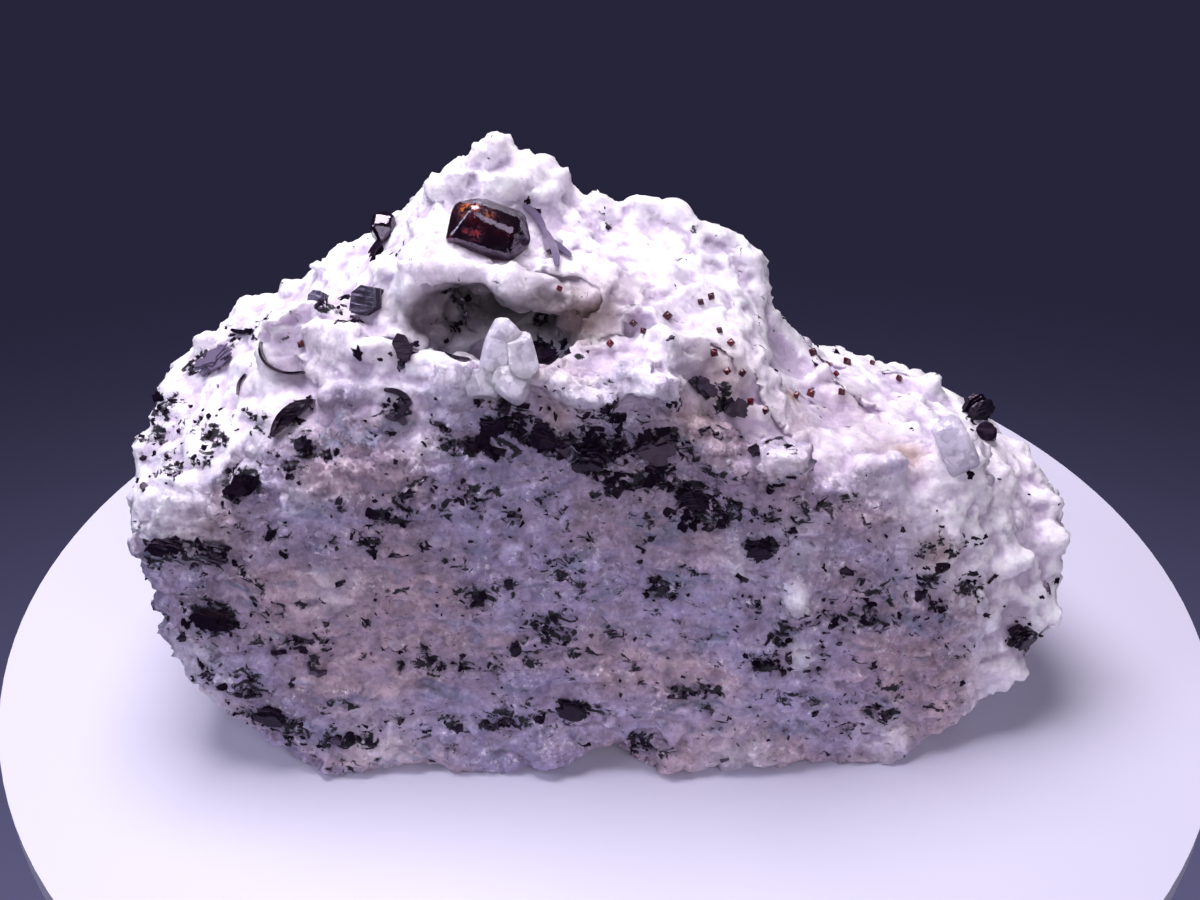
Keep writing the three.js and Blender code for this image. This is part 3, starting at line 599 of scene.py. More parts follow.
def grains_tree():
    """Scatters rounded grains over the grainy parts of the rock, part sunk, and joins them to it."""
    tree, given = geometry_tree(
        "Sugary grains",
        {
            "Spacing": ("NodeSocketFloat", 1.0 * MM),
            "Radius": ("NodeSocketFloat", 0.6 * MM),
            "Clearance": ("NodeSocketFloat", 0.25 * MM),
            "Sunk": ("NodeSocketFloat", -0.42),
            "Shapes": ("NodeSocketCollection", None),
            "Crystals": ("NodeSocketObject", None),
            "Seed": ("NodeSocketInt", 4),
        },
    )
    grainy = add(tree, "GeometryNodeInputNamedAttribute", {"Name": "grainy"}, data_type="FLOAT").outputs[0]
    scattered = add(
        tree,
        "GeometryNodeDistributePointsOnFaces",
        {
            "Mesh": given["Geometry"],
            "Distance Min": given["Spacing"],
            "Density Max": 3.0e6,
            "Density Factor": grainy,
            "Seed": given["Seed"],
        },
        distribute_method="POISSON",
    )
    share = add(
        tree, "FunctionNodeRandomValue", {2: 0.0, 3: 1.0, "Seed": given["Seed"]}, data_type="FLOAT"
    ).outputs[1]
    size = math_node(tree, "MULTIPLY_ADD", math_node(tree, "POWER", share, 1.7), 0.7)
    size.node.inputs[2].default_value = 0.3
    radius = math_node(tree, "MULTIPLY", size, given["Radius"])
    guide = add(tree, "GeometryNodeObjectInfo", {"Object": given["Crystals"]}).outputs["Geometry"]
    away = add(tree, "GeometryNodeProximity", {0: guide}, target_element="FACES").outputs["Distance"]
    room = math_node(tree, "SUBTRACT", away, given["Clearance"])
    crowded = math_node(tree, "LESS_THAN", room, radius)
    kept = add(
        tree, "GeometryNodeDeleteGeometry", {"Geometry": scattered.outputs["Points"], "Selection": crowded}
    ).outputs[0]
    depth = vector_node(tree, "SCALE", scattered.outputs["Normal"])
    tree.links.new(math_node(tree, "MULTIPLY", radius, given["Sunk"]), depth.inputs["Scale"])
    kept = add(tree, "GeometryNodeSetPosition", {"Geometry": kept, "Offset": depth.outputs[0]}).outputs[0]
    turn = add(
        tree,
        "FunctionNodeRandomValue",
        {1: (math.tau, math.tau, math.tau), "Seed": given["Seed"]},
        data_type="FLOAT_VECTOR",
    ).outputs[0]
    shapes = add(
        tree,
        "GeometryNodeCollectionInfo",
        {"Collection": given["Shapes"], "Separate Children": True, "Reset Children": True},
    ).outputs[0]
    placed = add(
        tree,
        "GeometryNodeInstanceOnPoints",
        {"Points": kept, "Instance": shapes, "Pick Instance": True, "Rotation": turn, "Scale": radius},
    ).outputs[0]
    joined = add(tree, "GeometryNodeJoinGeometry").inputs[0]
    tree.links.new(given["Geometry"], joined)
    tree.links.new(placed, joined)
    close_tree(tree, joined.node.outputs[0])
    return tree


def relief_tree():
    """Breaks the rock's surface into tilted cleavage facets, with a fine ripple all over."""
    tree, given = geometry_tree(
        "Cleavage relief",
        {
            "Facet size": ("NodeSocketFloat", 1.0 * MM),
            "Facet tilt": ("NodeSocketFloat", 0.5),
            "Dome size": ("NodeSocketFloat", 1.2 * MM),
            "Dome height": ("NodeSocketFloat", 0.3 * MM),
            "Ripple": ("NodeSocketFloat", 0.1 * MM),
            "Clearance": ("NodeSocketFloat", 0.7 * MM),
            "Crystals": ("NodeSocketObject", None),
        },
    )
    place = add(tree, "GeometryNodeInputPosition").outputs[0]
    normal = add(tree, "GeometryNodeInputNormal").outputs[0]
    sugary = add(tree, "GeometryNodeInputNamedAttribute", {"Name": "sugary"}, data_type="FLOAT").outputs[0]
    # The facets lie along the rock's near-level foliation, so they are wider than they are high.
    stretched = vector_node(tree, "MULTIPLY", place, (0.8, 0.9, 1.5)).outputs[0]
    shares = []
    for size_share, tilt_share in ((1.0, 1.0), (0.42, 0.8)):
        size = math_node(tree, "MULTIPLY", given["Facet size"], size_share)
        scale = math_node(tree, "DIVIDE", 1.0, size)
        cells = add(tree, "ShaderNodeTexVoronoi", {"Vector": stretched, "Scale": scale})
        lean = vector_node(tree, "SUBTRACT", cells.outputs["Color"], (0.5, 0.5, 0.5)).outputs[0]
        from_middle = vector_node(tree, "SUBTRACT", stretched, cells.outputs["Position"]).outputs[0]
        height = vector_node(tree, "DOT_PRODUCT", lean, from_middle).outputs["Value"]
        shares.append(math_node(tree, "MULTIPLY", height, math_node(tree, "MULTIPLY", given["Facet tilt"], tilt_share * 2)))
    facets = math_node(tree, "ADD", *shares)
    on_fracture = smooth_step(tree, sugary, 0.0, 1.0, 1.0, 0.55)
    facets = math_node(tree, "MULTIPLY", facets, on_fracture)
    # On the slopes the grains are melted together: domes with creases between them.
    wander = add(tree, "ShaderNodeTexNoise", {"Vector": place, "Scale": 1 / (1.6 * MM)}).outputs["Color"]
    wander = vector_node(tree, "SUBTRACT", wander, (0.5, 0.5, 0.5)).outputs[0]
    bent = vector_node(tree, "MULTIPLY_ADD", wander, (0.9 * MM, 0.9 * MM, 0.9 * MM))
    tree.links.new(place, bent.inputs[2])
    domes = []
    for size_share, height_share in ((1.0, 1.0), (0.5, 0.35)):
        scale = math_node(tree, "DIVIDE", 1 / size_share, given["Dome size"])
        cells = add(tree, "ShaderNodeTexVoronoi", {"Vector": bent.outputs[0], "Scale": scale})
        dome = math_node(tree, "POWER", cells.outputs["Distance"], 2.0)
        dome = math_node(tree, "SUBTRACT", 0.3, dome)
        domes.append(math_node(tree, "MULTIPLY", dome, height_share))
    dome = math_node(tree, "MULTIPLY", math_node(tree, "ADD", *domes), given["Dome height"])
    grainy = add(tree, "GeometryNodeInputNamedAttribute", {"Name": "grainy"}, data_type="FLOAT").outputs[0]
    melted = math_node(tree, "ADD", grainy, math_node(tree, "MULTIPLY", sugary, 0.25))
    dome = math_node(tree, "MULTIPLY", dome, melted)
    facets = math_node(tree, "ADD", facets, dome)
    waves = add(tree, "ShaderNodeTexNoise", {"Vector": place, "Scale": 1 / (0.9 * MM), "Detail": 3.0})
    wave = math_node(tree, "SUBTRACT", waves.outputs[0], 0.5)
    wave = math_node(tree, "MULTIPLY", wave, given["Ripple"])
    height = math_node(tree, "ADD", facets, math_node(tree, "MULTIPLY", wave, 2.0))
    guide = add(tree, "GeometryNodeObjectInfo", {"Object": given["Crystals"]}).outputs["Geometry"]
    away = add(tree, "GeometryNodeProximity", {0: guide}, target_element="FACES").outputs["Distance"]
    beside = smooth_step(tree, math_node(tree, "DIVIDE", away, given["Clearance"]), 0.0, 1.0)
    height = math_node(tree, "MULTIPLY", height, beside)
    offset = vector_node(tree, "SCALE", normal)
    tree.links.new(height, offset.inputs["Scale"])
    moved = add(
        tree, "GeometryNodeSetPosition", {"Geometry": given["Geometry"], "Offset": offset.outputs[0]}
    ).outputs[0]
    close_tree(tree, moved)
    return tree


def thinned(piece, most_triangles):
    """A piece with its triangles brought under a limit, fewest where it is flattest."""
    modifier = piece.modifiers.new("thin", "DECIMATE")
    modifier.ratio = min(1.0, most_triangles / triangle_count(piece.data))
    return settled(piece)


def fitted_to_clear_crystals(piece, reach=0.34 * MM):
    """Draws the rock's surface up to the clear crystals, so that no gap shows round them."""
    graph = bpy.context.evaluated_depsgraph_get()
    for name in CLEAR_CRYSTALS:
        surface = BVHTree.FromObject(frame["nodes"][name], graph)
        low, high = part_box(name)
        places = coordinates(piece.data)
        inside = np.all((places > np.array(low) - reach) & (places < np.array(high) + reach), axis=1)
        for index in np.nonzero(inside)[0]:
            vertex = piece.data.vertices[index]
            nearest, normal, _, distance = surface.find_nearest(vertex.co, reach)
            if nearest is None:
                continue
            outside = (vertex.co - nearest).dot(normal) > 0
            share = 1 - smoothstep(distance, 0.5 * reach, reach) if outside else 1.0
            vertex.co = vertex.co.lerp(nearest, float(share))


def uncovered(piece):
    """Presses the rock back where it hides a small crystal that the camera should see."""
    surface = BVHTree.FromObject(piece, bpy.context.evaluated_depsgraph_get())
    places = coordinates(piece.data)
    away = places - np.array(CAMERA_PLACE)
    push = np.zeros(len(places))
    for name in crystal_nodes():
        low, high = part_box(name)
        size = (Vector(high) - Vector(low)).length
        middle = (Vector(low) + Vector(high)) / 2
        sight = middle - CAMERA_PLACE
        way = sight.normalized()
        hit = surface.ray_cast(CAMERA_PLACE, way)[0]
        if hit is None or name in CLEAR_CRYSTALS:
            continue
        hidden = sight.length - (hit - CAMERA_PLACE).length + 0.2 * size
        if not 0 < hidden < 2 * MM:
            continue
        along = away @ np.array(way)
        aside = np.linalg.norm(away - along[:, None] * np.array(way), axis=1)
        share = 1 - smoothstep(aside, 0.35 * size, 0.5 * size + 0.5 * MM + 1.6 * hidden)
        share[(along > sight.length + 0.3 * size) | (along < sight.length - 3 * MM)] = 0
        push = np.maximum(push, share * hidden)
    places += away * (push / np.linalg.norm(away, axis=1))[:, None]
    piece.data.vertices.foreach_set("co", places.astype(np.float32).ravel())
    return piece


SMOOTH = {  # places without sugary grains: pixel of the middle, radius in mm, strength
    "nodule": ((315, 345), 3.2, 1.0),
    "nodule_foot": ((330, 395), 2.2, 0.9),
    "left_corner": ((165, 502), 2.6, 1.0),
    "round_main": ((480, 240), 2.6, 1.0),
    "peak": ((500, 175), 2.4, 0.6),
    "peak_right": ((560, 225), 2.4, 0.9),
    "lip": ((525, 292), 2.0, 1.0),
    "lip_left": ((450, 272), 2.4, 1.0),
    "shoulder_back": ((640, 215), 3.4, 1.0),
    "shoulder": ((630, 255), 4.2, 1.0),
    "shoulder_far": ((735, 270), 3.0, 1.0),
    "shoulder_right": ((700, 305), 3.4, 0.9),
    "terrace": ((760, 390), 2.4, 0.7),
    "ridge": ((812, 372), 2.6, 1.0),
    "below_ridge": ((850, 430), 2.4, 0.8),
    "right_top": ((905, 395), 2.0, 0.6),
    "white_block": ((784, 460), 1.6, 1.0),
}

STAINS = {  # brown stains, in the same way
    "right_pocket": ((908, 455), 0.9, 0.7),
    "right_face": ((938, 552), 1.1, 0.5),
    "under_terrace": ((720, 372), 1.6, 0.35),
    "hollow_right": ((590, 318), 1.4, 0.35),
    "ledge": ((560, 418), 1.0, 0.45),
    "ledge_right": ((690, 418), 1.3, 0.4),
    "pit": ((790, 394), 0.5, 0.9),
    "left_edge": ((215, 528), 1.8, 0.35),
}

ROSY_SHADE = {  # painted shade: a warm, darker rose where the slopes turn down or lie under ridges, lumps and the lip, with some of the rock's own warm tint, in the same way
    "right_slope": ((880, 450), 2.2, 0.8),
    "right_slope_up": ((850, 412), 2.4, 0.9),
    "under_ridge": ((800, 425), 2.0, 0.8),
    "right_terrace": ((845, 470), 2.0, 0.7),
    "under_shoulder": ((735, 405), 1.6, 0.7),
    "hollow_right": ((590, 312), 1.6, 0.8),
    "over_hollow": ((630, 290), 1.4, 0.5),
    "nodule": ((335, 364), 0.8, 0.5),
    "under_nodule": ((320, 385), 2.2, 0.7),
    "main_foot": ((440, 262), 1.2, 0.3),
}

BRIGHT = {  # painted light, with some clean white albite: spots turned white on the broken faces, the tops and the right end, in the same way
    "rim_left": ((440, 374), 1.5, 0.9),
    "rim_middle": ((400, 376), 1.5, 0.8),
    "rim_right": ((560, 385), 1.4, 0.9),
    "rim_right_foot": ((592, 390), 1.3, 0.7),
    "rim_far": ((640, 380), 1.6, 0.8),
    "terrace": ((680, 362), 2.0, 1.0),
    "right_end": ((1010, 500), 2.8, 1.0),
    "right_end_up": ((975, 490), 2.0, 0.8),
    "right_end_low": ((1035, 560), 1.6, 0.6),
    "below_nodule": ((345, 378), 1.0, 0.3),
    "below_nodule_left": ((286, 390), 1.4, 0.6),
    "front_clear": ((800, 655), 0.7, 0.8),
    "white_block": ((786, 458), 1.2, 0.75),
    "left_clear": ((345, 326), 0.8, 0.6),
    "left_corner": ((170, 502), 1.9, 1.0),
    "left_corner_tip": ((142, 520), 1.0, 0.9),
    "white_knob": ((797, 601), 0.8, 1.0),
    "low_left": ((215, 700), 1.6, 0.6),
    "low_middle": ((385, 745), 1.8, 0.45),
    "low_right": ((740, 765), 1.8, 0.5),
    "left_low": ((190, 660), 1.5, 0.5),
    "snow_left": ((420, 436), 1.0, 0.7),
    "snow_middle": ((300, 500), 1.0, 0.4),
    "snow_glossy": ((740, 560), 0.9, 0.5),
    "right_block": ((800, 550), 1.4, 0.4),
    "right_block_low": ((980, 560), 1.4, 0.5),
    "left_band": ((330, 590), 1.2, 0.4),
    "foot_right": ((890, 740), 1.4, 0.5),
}

MURK_AND_SHADE = {  # painted shade under the nodule, lip, rim and ledges and in broad patches of the front face, with albite really darkened by its mica, in the same way
    "under_nodule": ((385, 440), 2.4, 0.8),
    "below_nodule": ((345, 412), 1.8, 1.0),
    "below_rim": ((470, 406), 1.4, 0.6),
    "under_curl": ((345, 425), 1.8, 0.8),
    "ledge": ((590, 420), 1.6, 0.7),
    "under_rim": ((648, 412), 1.3, 0.9),
    "ledge_right": ((720, 400), 1.8, 0.5),
    "under_hollow": ((480, 470), 2.6, 0.6),
    "dark_border": ((600, 455), 2.4, 0.9),
    "dark_border_right": ((660, 460), 2.0, 0.9),
    "dark_border_left": ((530, 430), 1.6, 0.8),
    "under_border": ((600, 490), 2.2, 0.6),
    "middle": ((440, 540), 3.2, 0.4),
    "centre": ((560, 610), 4.0, 0.3),
    "lower": ((500, 690), 3.0, 0.35),
    "right_middle": ((900, 590), 2.4, 0.3),
    "left_blot": ((212, 622), 1.6, 0.6),
    "left_slope": ((190, 400), 1.3, 0.25),
    "left_slope_low": ((160, 455), 1.2, 0.3),
    "left_slope_up": ((235, 345), 1.1, 0.3),
    "left_slope_mid": ((245, 440), 1.2, 0.2),
    "left_slope_top": ((300, 300), 1.8, 0.2),
    "left_foot": ((300, 735), 2.2, 0.4),
    "under_right": ((860, 500), 2.4, 0.35),
    "curls": ((305, 440), 1.8, 0.7),
    "corner_foot": ((250, 520), 1.3, 0.6),
}


def sunkenness(mesh, rounds=24):
    """How far each vertex lies below its surroundings: the mesh is smoothed to find them."""
    edges = np.empty(len(mesh.edges) * 2, np.int64)
    mesh.edges.foreach_get("vertices", edges)
    one, other = edges.reshape(-1, 2).T
    normals = np.empty(len(mesh.vertices) * 3, np.float32)
    mesh.vertices.foreach_get("normal", normals)
    start = coordinates(mesh)
    places = start.copy()
    valence = np.bincount(one, minlength=len(start)) + np.bincount(other, minlength=len(start))
    for _ in range(rounds):
        for axis in range(3):
            total = np.bincount(one, places[other, axis], len(start))
            total += np.bincount(other, places[one, axis], len(start))
            places[:, axis] = total / valence
    return np.einsum("ij,ij->i", places - start, normals.reshape(-1, 3))


def rock_attributes(piece):
    """Stores what the rock's material reads about each place."""
    mesh = piece.data
    places = coordinates(mesh)
    surface = BVHTree.FromObject(piece, bpy.context.evaluated_depsgraph_get())
    store(mesh, "sugary", sugariness(places))
    store(mesh, "hollow", hollowness(places))
    store(mesh, "cavity", smoothstep(sunkenness(mesh), -0.01 * MM, 0.12 * MM))
    store(mesh, "stained", near_spots(surface, places, STAINS))
    store(mesh, "bright", near_spots(surface, places, BRIGHT))
    store(mesh, "rosy", near_spots(surface, places, ROSY_SHADE))
    store(mesh, "murky", near_spots(surface, places, MURK_AND_SHADE))


def store_graininess(piece):
    """Stores where the sugary grains gather: on the slopes, in drifts, and away from smooth places."""
    places = coordinates(piece.data)
    surface = BVHTree.FromObject(piece, bpy.context.evaluated_depsgraph_get())
    drifts = np.array([noise.noise(Vector(place) / (3.2 * MM)) for place in places])
    share = sugariness(places) * (1 - near_spots(surface, places, SMOOTH))
    store(piece.data, "grainy", share * (0.3 + 0.7 * smoothstep(drifts, -0.25, 0.2)))
    store(piece.data, "sugary", sugariness(places))


def noise_value(tree, place, size, detail=4.0, **inputs):
    """The value of a noise whose features have a size in mm."""
    inputs = {"Vector": place, "Scale": 1 / (size * MM), "Detail": detail, **inputs}
    return add(tree, "ShaderNodeTexNoise", inputs).outputs[0]


def cleavage_height(tree, place, size):
    """A height for bumps: flat facets of a size in mm, each tilted its own way."""
    facets = add(tree, "ShaderNodeTexVoronoi", {"Vector": place, "Scale": 1 / (size * MM)})
    lean = vector_node(tree, "SUBTRACT", facets.outputs["Color"], (0.5, 0.5, 0.5)).outputs[0]
    from_middle = vector_node(tree, "SUBTRACT", place, facets.outputs["Position"]).outputs[0]
    return vector_node(tree, "DOT_PRODUCT", lean, from_middle).outputs["Value"]


def albite_material(settings):
    """Translucent sugary albite, full of fine mica: white above and mauve and smoke-grey where it is broken,
    partly its own colours and partly painted light and shade, with painted shade in its recesses, under ledges
    and in the hollow.
    """
    made, tree, shader = material("albite")
    place = add(tree, "ShaderNodeTexCoord").outputs["Object"]
    sugary, hollow, stained, bright, rosy, murky, dusky, cavity = (
        add(tree, "ShaderNodeAttribute", attribute_name=name).outputs["Fac"]
        for name in ("sugary", "hollow", "stained", "bright", "rosy", "murky", "dusky", "cavity")
    )
    # The rock's layers dip a little to the right.
    dipping = add(tree, "ShaderNodeMapping", {"Vector": place, "Rotation": (0, -0.16, 0)}).outputs[0]
    level = vector_node(tree, "MULTIPLY", dipping, (0.6, 0.8, 1.5)).outputs[0]
    clouds = noise_value(tree, level, 5.0)
    drifts = noise_value(tree, place, 2.0, 5.0, Distortion=0.5)
    mottle = noise_value(tree, place, 0.8, 7.0, Roughness=0.65)

    warm = smooth_step(tree, clouds, 0.42, 0.6)
    broken = mixed(tree, warm, rgba(settings.lilac), rgba(settings.pink))
    clean_lit_tone = mixed(tree, math_node(tree, "MULTIPLY", warm, 0.18), rgba(settings.white), rgba(settings.pink))
    smoky_and_shaded = smooth_step(tree, drifts, 0.5, 0.72, 0.0, 0.6)
    smoky_and_shaded = math_node(tree, "MAXIMUM", smoky_and_shaded, math_node(tree, "MULTIPLY", dusky, 0.8))
    # The shaded spots add painted shade here, over the real smoke of the mica.
    smoky_and_shaded = math_node(tree, "MAXIMUM", smoky_and_shaded, math_node(tree, "MULTIPLY", murky, 0.75))
    broken = mixed(tree, smoky_and_shaded, broken, rgba(settings.smoke_and_shade))
    clean_lit_tone = mixed(tree, math_node(tree, "MULTIPLY", smoky_and_shaded, 0.3), clean_lit_tone, rgba(settings.smoke_and_shade))
    # Painted light and shade: white goes on the sugary upper slopes and lilac on the broken faces below, partly
    # the rock's own difference.
    clean_and_lit = math_node(tree, "MULTIPLY", sugary, math_node(tree, "SUBTRACT", 1.0, murky))
    # The bright spots add painted light, turning the albite white.
    clean_and_lit = math_node(tree, "MAXIMUM", clean_and_lit, bright)
    base = mixed(tree, clean_and_lit, broken, clean_lit_tone)
    # Painted shade: a warm rose where the slopes turn down or lie under ridges and lumps.
    base = mixed(tree, math_node(tree, "MULTIPLY", rosy, clean_and_lit), base, rgba(settings.rose_shade))
    # White speckles of sugary grains, partly painted glints.
    frost = smooth_step(tree, noise_value(tree, place, 0.28, 6.0, Roughness=0.7), 0.5, 0.68)
    frosty = smooth_step(tree, noise_value(tree, place, 1.5, 3.0), 0.5, 0.64, 0.12, 0.85)
    base = mixed(tree, math_node(tree, "MULTIPLY", frost, frosty), base, rgba(settings.white))
    # Painted shade in the recesses between grains.
    base = mixed(tree, math_node(tree, "MULTIPLY", cavity, 0.7), base, rgba(settings.recess_shade))
    # Painted shade deep in the hollow.
    base = mixed(tree, math_node(tree, "MULTIPLY", hollow, 0.92), base, rgba(settings.shade))
    base = mixed(tree, stained, base, rgba(settings.stain))
    cool = smooth_step(tree, noise_value(tree, level, 1.6, 4.0, Distortion=0.8), 0.56, 0.68, 0.0, 0.7)
    cool = math_node(tree, "MULTIPLY", cool, smooth_step(tree, clean_and_lit, 0.0, 0.8, 1.0, 0.1))
    base = mixed(tree, cool, base, rgba(settings.slate))
    toned = vector_node(tree, "SCALE", base)
    least = math_node(tree, "ADD", math_node(tree, "MULTIPLY", clean_and_lit, 0.2), 0.68)
    tree.links.new(smooth_step(tree, mottle, 0.3, 0.7, least, 1.2), toned.inputs["Scale"])

    # Mica too small to stand out: ragged black specks, crowded in level streaks and round the flakes.
    streaks = smooth_step(tree, noise_value(tree, level, 2.2), 0.48, 0.68, 0.0, 0.7)
    streaks = math_node(tree, "MULTIPLY", streaks, smooth_step(tree, sugary, 0.1, 0.8, 1.0, 0.15))
    crowd = math_node(tree, "MAXIMUM", streaks, math_node(tree, "MULTIPLY", dusky, 0.95))
    crowd = math_node(tree, "SUBTRACT", crowd, math_node(tree, "MULTIPLY", bright, 0.6))
    flat = vector_node(tree, "MULTIPLY", dipping, (0.8, 0.9, 1.25)).outputs[0]
    ragged = noise_value(tree, flat, 0.6, 6.0, Roughness=0.64, Distortion=0.7)
    ragged = math_node(tree, "ADD", ragged, math_node(tree, "MULTIPLY", crowd, 0.22))
    mica = smooth_step(tree, ragged, 0.635, 0.715)
    pepper = smooth_step(tree, noise_value(tree, flat, 0.22, 3.0), 0.65, 0.74, 0.0, 0.85)
    pepper = math_node(tree, "MULTIPLY", pepper, smooth_step(tree, clean_and_lit, 0.2, 0.9, 1.0, 0.0))
    mica = math_node(tree, "MAXIMUM", mica, pepper)
    dark = mixed(tree, mica, toned.outputs[0], (0.010, 0.008, 0.016, 1.0))
    tree.links.new(dark, shader.inputs["Base Color"])

    gloss = smooth_step(tree, drifts, 0.35, 0.65, 0.34, 0.6)
    gloss = math_node(tree, "MAXIMUM", gloss, math_node(tree, "MULTIPLY", mica, 0.75))
    tree.links.new(gloss, shader.inputs["Roughness"])
    shader.inputs["Specular IOR Level"].default_value = 0.4
    shader.inputs["Subsurface Weight"].default_value = 0.45
    shader.inputs["Subsurface Radius"].default_value = (1.0, 0.9, 1.0)
    shader.inputs["Subsurface Scale"].default_value = 0.9 * MM
    shader.inputs["IOR"].default_value = 1.53

    height = math_node(tree, "ADD", cleavage_height(tree, place, 0.5), cleavage_height(tree, place, 0.2))
    sugar = noise_value(tree, place, 0.3, 3.0)
    height = math_node(tree, "ADD", height, math_node(tree, "MULTIPLY", sugar, 0.05 * MM))
    height = math_node(tree, "SUBTRACT", height, math_node(tree, "MULTIPLY", mica, 0.03 * MM))
    strength = smooth_step(tree, sugary, 0.0, 1.0, 0.85, 0.35)
    bump = add(tree, "ShaderNodeBump", {"Strength": strength, "Distance": 1.0, "Height": height})
    tree.links.new(bump.outputs[0], shader.inputs["Normal"])
    return made


class SPECIMEN_OT_rock(bpy.types.Operator):
    """Builds the albite rock with its sugary grains and broken faces"""

    bl_idname = "specimen.rock"
    bl_label = "Albite Rock"

    def execute(self, context):
        settings = context.scene.specimen_rock
        crystals = crystals_together()
        shapes = bpy.data.collections.new("grain_shapes")
        for seed in range(6):
            shapes.objects.link(grain_shape(seed))
        rock = remeshed(filled_pockets(), 0.4 * MM)
        dented(rock)
        add_knobs(rock)
        remeshed(rock, 0.3 * MM)
        store_graininess(rock)
        run_tree(
            rock,
            grains_tree(),
            {
                "Spacing": settings.grain_spacing * MM,
                "Radius": settings.grain_radius * MM,
                "Shapes": shapes,
                "Crystals": crystals,
            },
        )
        remeshed(rock, settings.cell * MM)
        melt = rock.modifiers.new("melt", "SMOOTH")
        melt.factor, melt.iterations = 0.5, 1
        settled(rock)
        store_graininess(rock)
        run_tree(
            rock,
            relief_tree(),
            {
                "Facet size": settings.facet_size * MM,
                "Facet tilt": settings.facet_tilt,
                "Dome size": settings.dome_size * MM,
                "Dome height": settings.dome_height * MM,
                "Ripple": settings.ripple * MM,
                "Crystals": crystals,
            },
        )
        thinned(rock, settings.most_triangles)
        fitted_to_clear_crystals(grounded(uncovered(rock)))
        rock_attributes(rock)
        rock.data.shade_smooth()
        rock.data.materials.clear()
        rock.data.materials.append(albite_material(settings))
        discard(crystals, *shapes.objects)
        standing_for(rock, "albite", "matrix")
        return {"FINISHED"}


# ------------------------------------------------------------------------------- biotite


def mica_material(name, black, brown, specular=0.16):
    """Black biotite: glossy flat sheets, brown where they are thin."""
    made, tree, shader = material(name)
    place = add(tree, "ShaderNodeTexCoord").outputs["Object"]
    share = smooth_step(tree, noise_value(tree, place, 0.9, 3.0), 0.52, 0.75, 0.0, 0.6)
    tree.links.new(mixed(tree, share, rgba(black), rgba(brown)), shader.inputs["Base Color"])
    gloss = smooth_step(tree, noise_value(tree, place, 0.4, 3.0), 0.36, 0.6, 0.34, 0.1)
    tree.links.new(gloss, shader.inputs["Roughness"])
    shader.inputs["IOR"].default_value = 1.58
    shader.inputs["Specular IOR Level"].default_value = specular
    shader.inputs["Specular Tint"].default_value = (0.9, 0.7, 1.0, 1.0)
    sheets = vector_node(tree, "MULTIPLY", place, (1.0, 1.0, 9.0)).outputs[0]
    height = noise_value(tree, sheets, 1.2, 2.0)
    bump = add(tree, "ShaderNodeBump", {"Strength": 0.3, "Distance": 0.08 * MM, "Height": height})
    tree.links.new(bump.outputs[0], shader.inputs["Normal"])
    return made


def sheet_outline(random, corners, raggedness):
    """The outline of a mica sheet of unit width, as angles and reaches."""
    angles = (np.arange(corners) + random.uniform(-0.28, 0.28, corners)) * math.tau / corners
    return angles, 0.5 * random.uniform(1 - raggedness, 1, corners)


def add_sheet(bm, random, matrix, thickness, scale=1.0, bend=0.0, corners=11, raggedness=0.6):
    """Adds one ragged mica sheet of unit width to a bmesh, bent by a share of its width."""
    angles, reaches = sheet_outline(random, corners, raggedness)
    rings = []
    for side in (-0.5, 0.5):
        ring = []
        for angle, reach in zip(angles, reaches):
            x, y = scale * reach * math.cos(angle), scale * reach * math.sin(angle)
            ring.append(bm.verts.new(matrix @ Vector((x, y, side * thickness - bend * x * x))))
        rings.append(ring)
    lower, upper = rings
    bm.faces.new(reversed(lower))
    bm.faces.new(upper)
    for n in range(len(lower)):
        after = (n + 1) % len(lower)
        bm.faces.new((lower[n], lower[after], upper[after], upper[n]))


def flake_shape(seed):
    """A small biotite flake of unit width: one ragged sheet, or two that have slipped."""
    random = np.random.default_rng(100 + seed)
    bm = bmesh.new()
    thickness = random.uniform(0.08, 0.2)
    add_sheet(bm, random, Matrix.Identity(4), thickness, bend=random.uniform(0, 0.5))
    if seed % 2:
        slip = Matrix.Translation((0.12, 0.05, 0.7 * thickness))
        add_sheet(bm, random, slip, 0.5 * thickness, scale=0.8, corners=8)
    return new_piece(f"flake_{seed}", mesh_of(bm, f"flake_{seed}"))


FOLIATION = Vector((0.16, 0.10, 1.0)).normalized()  # the way across the rock's mica layers

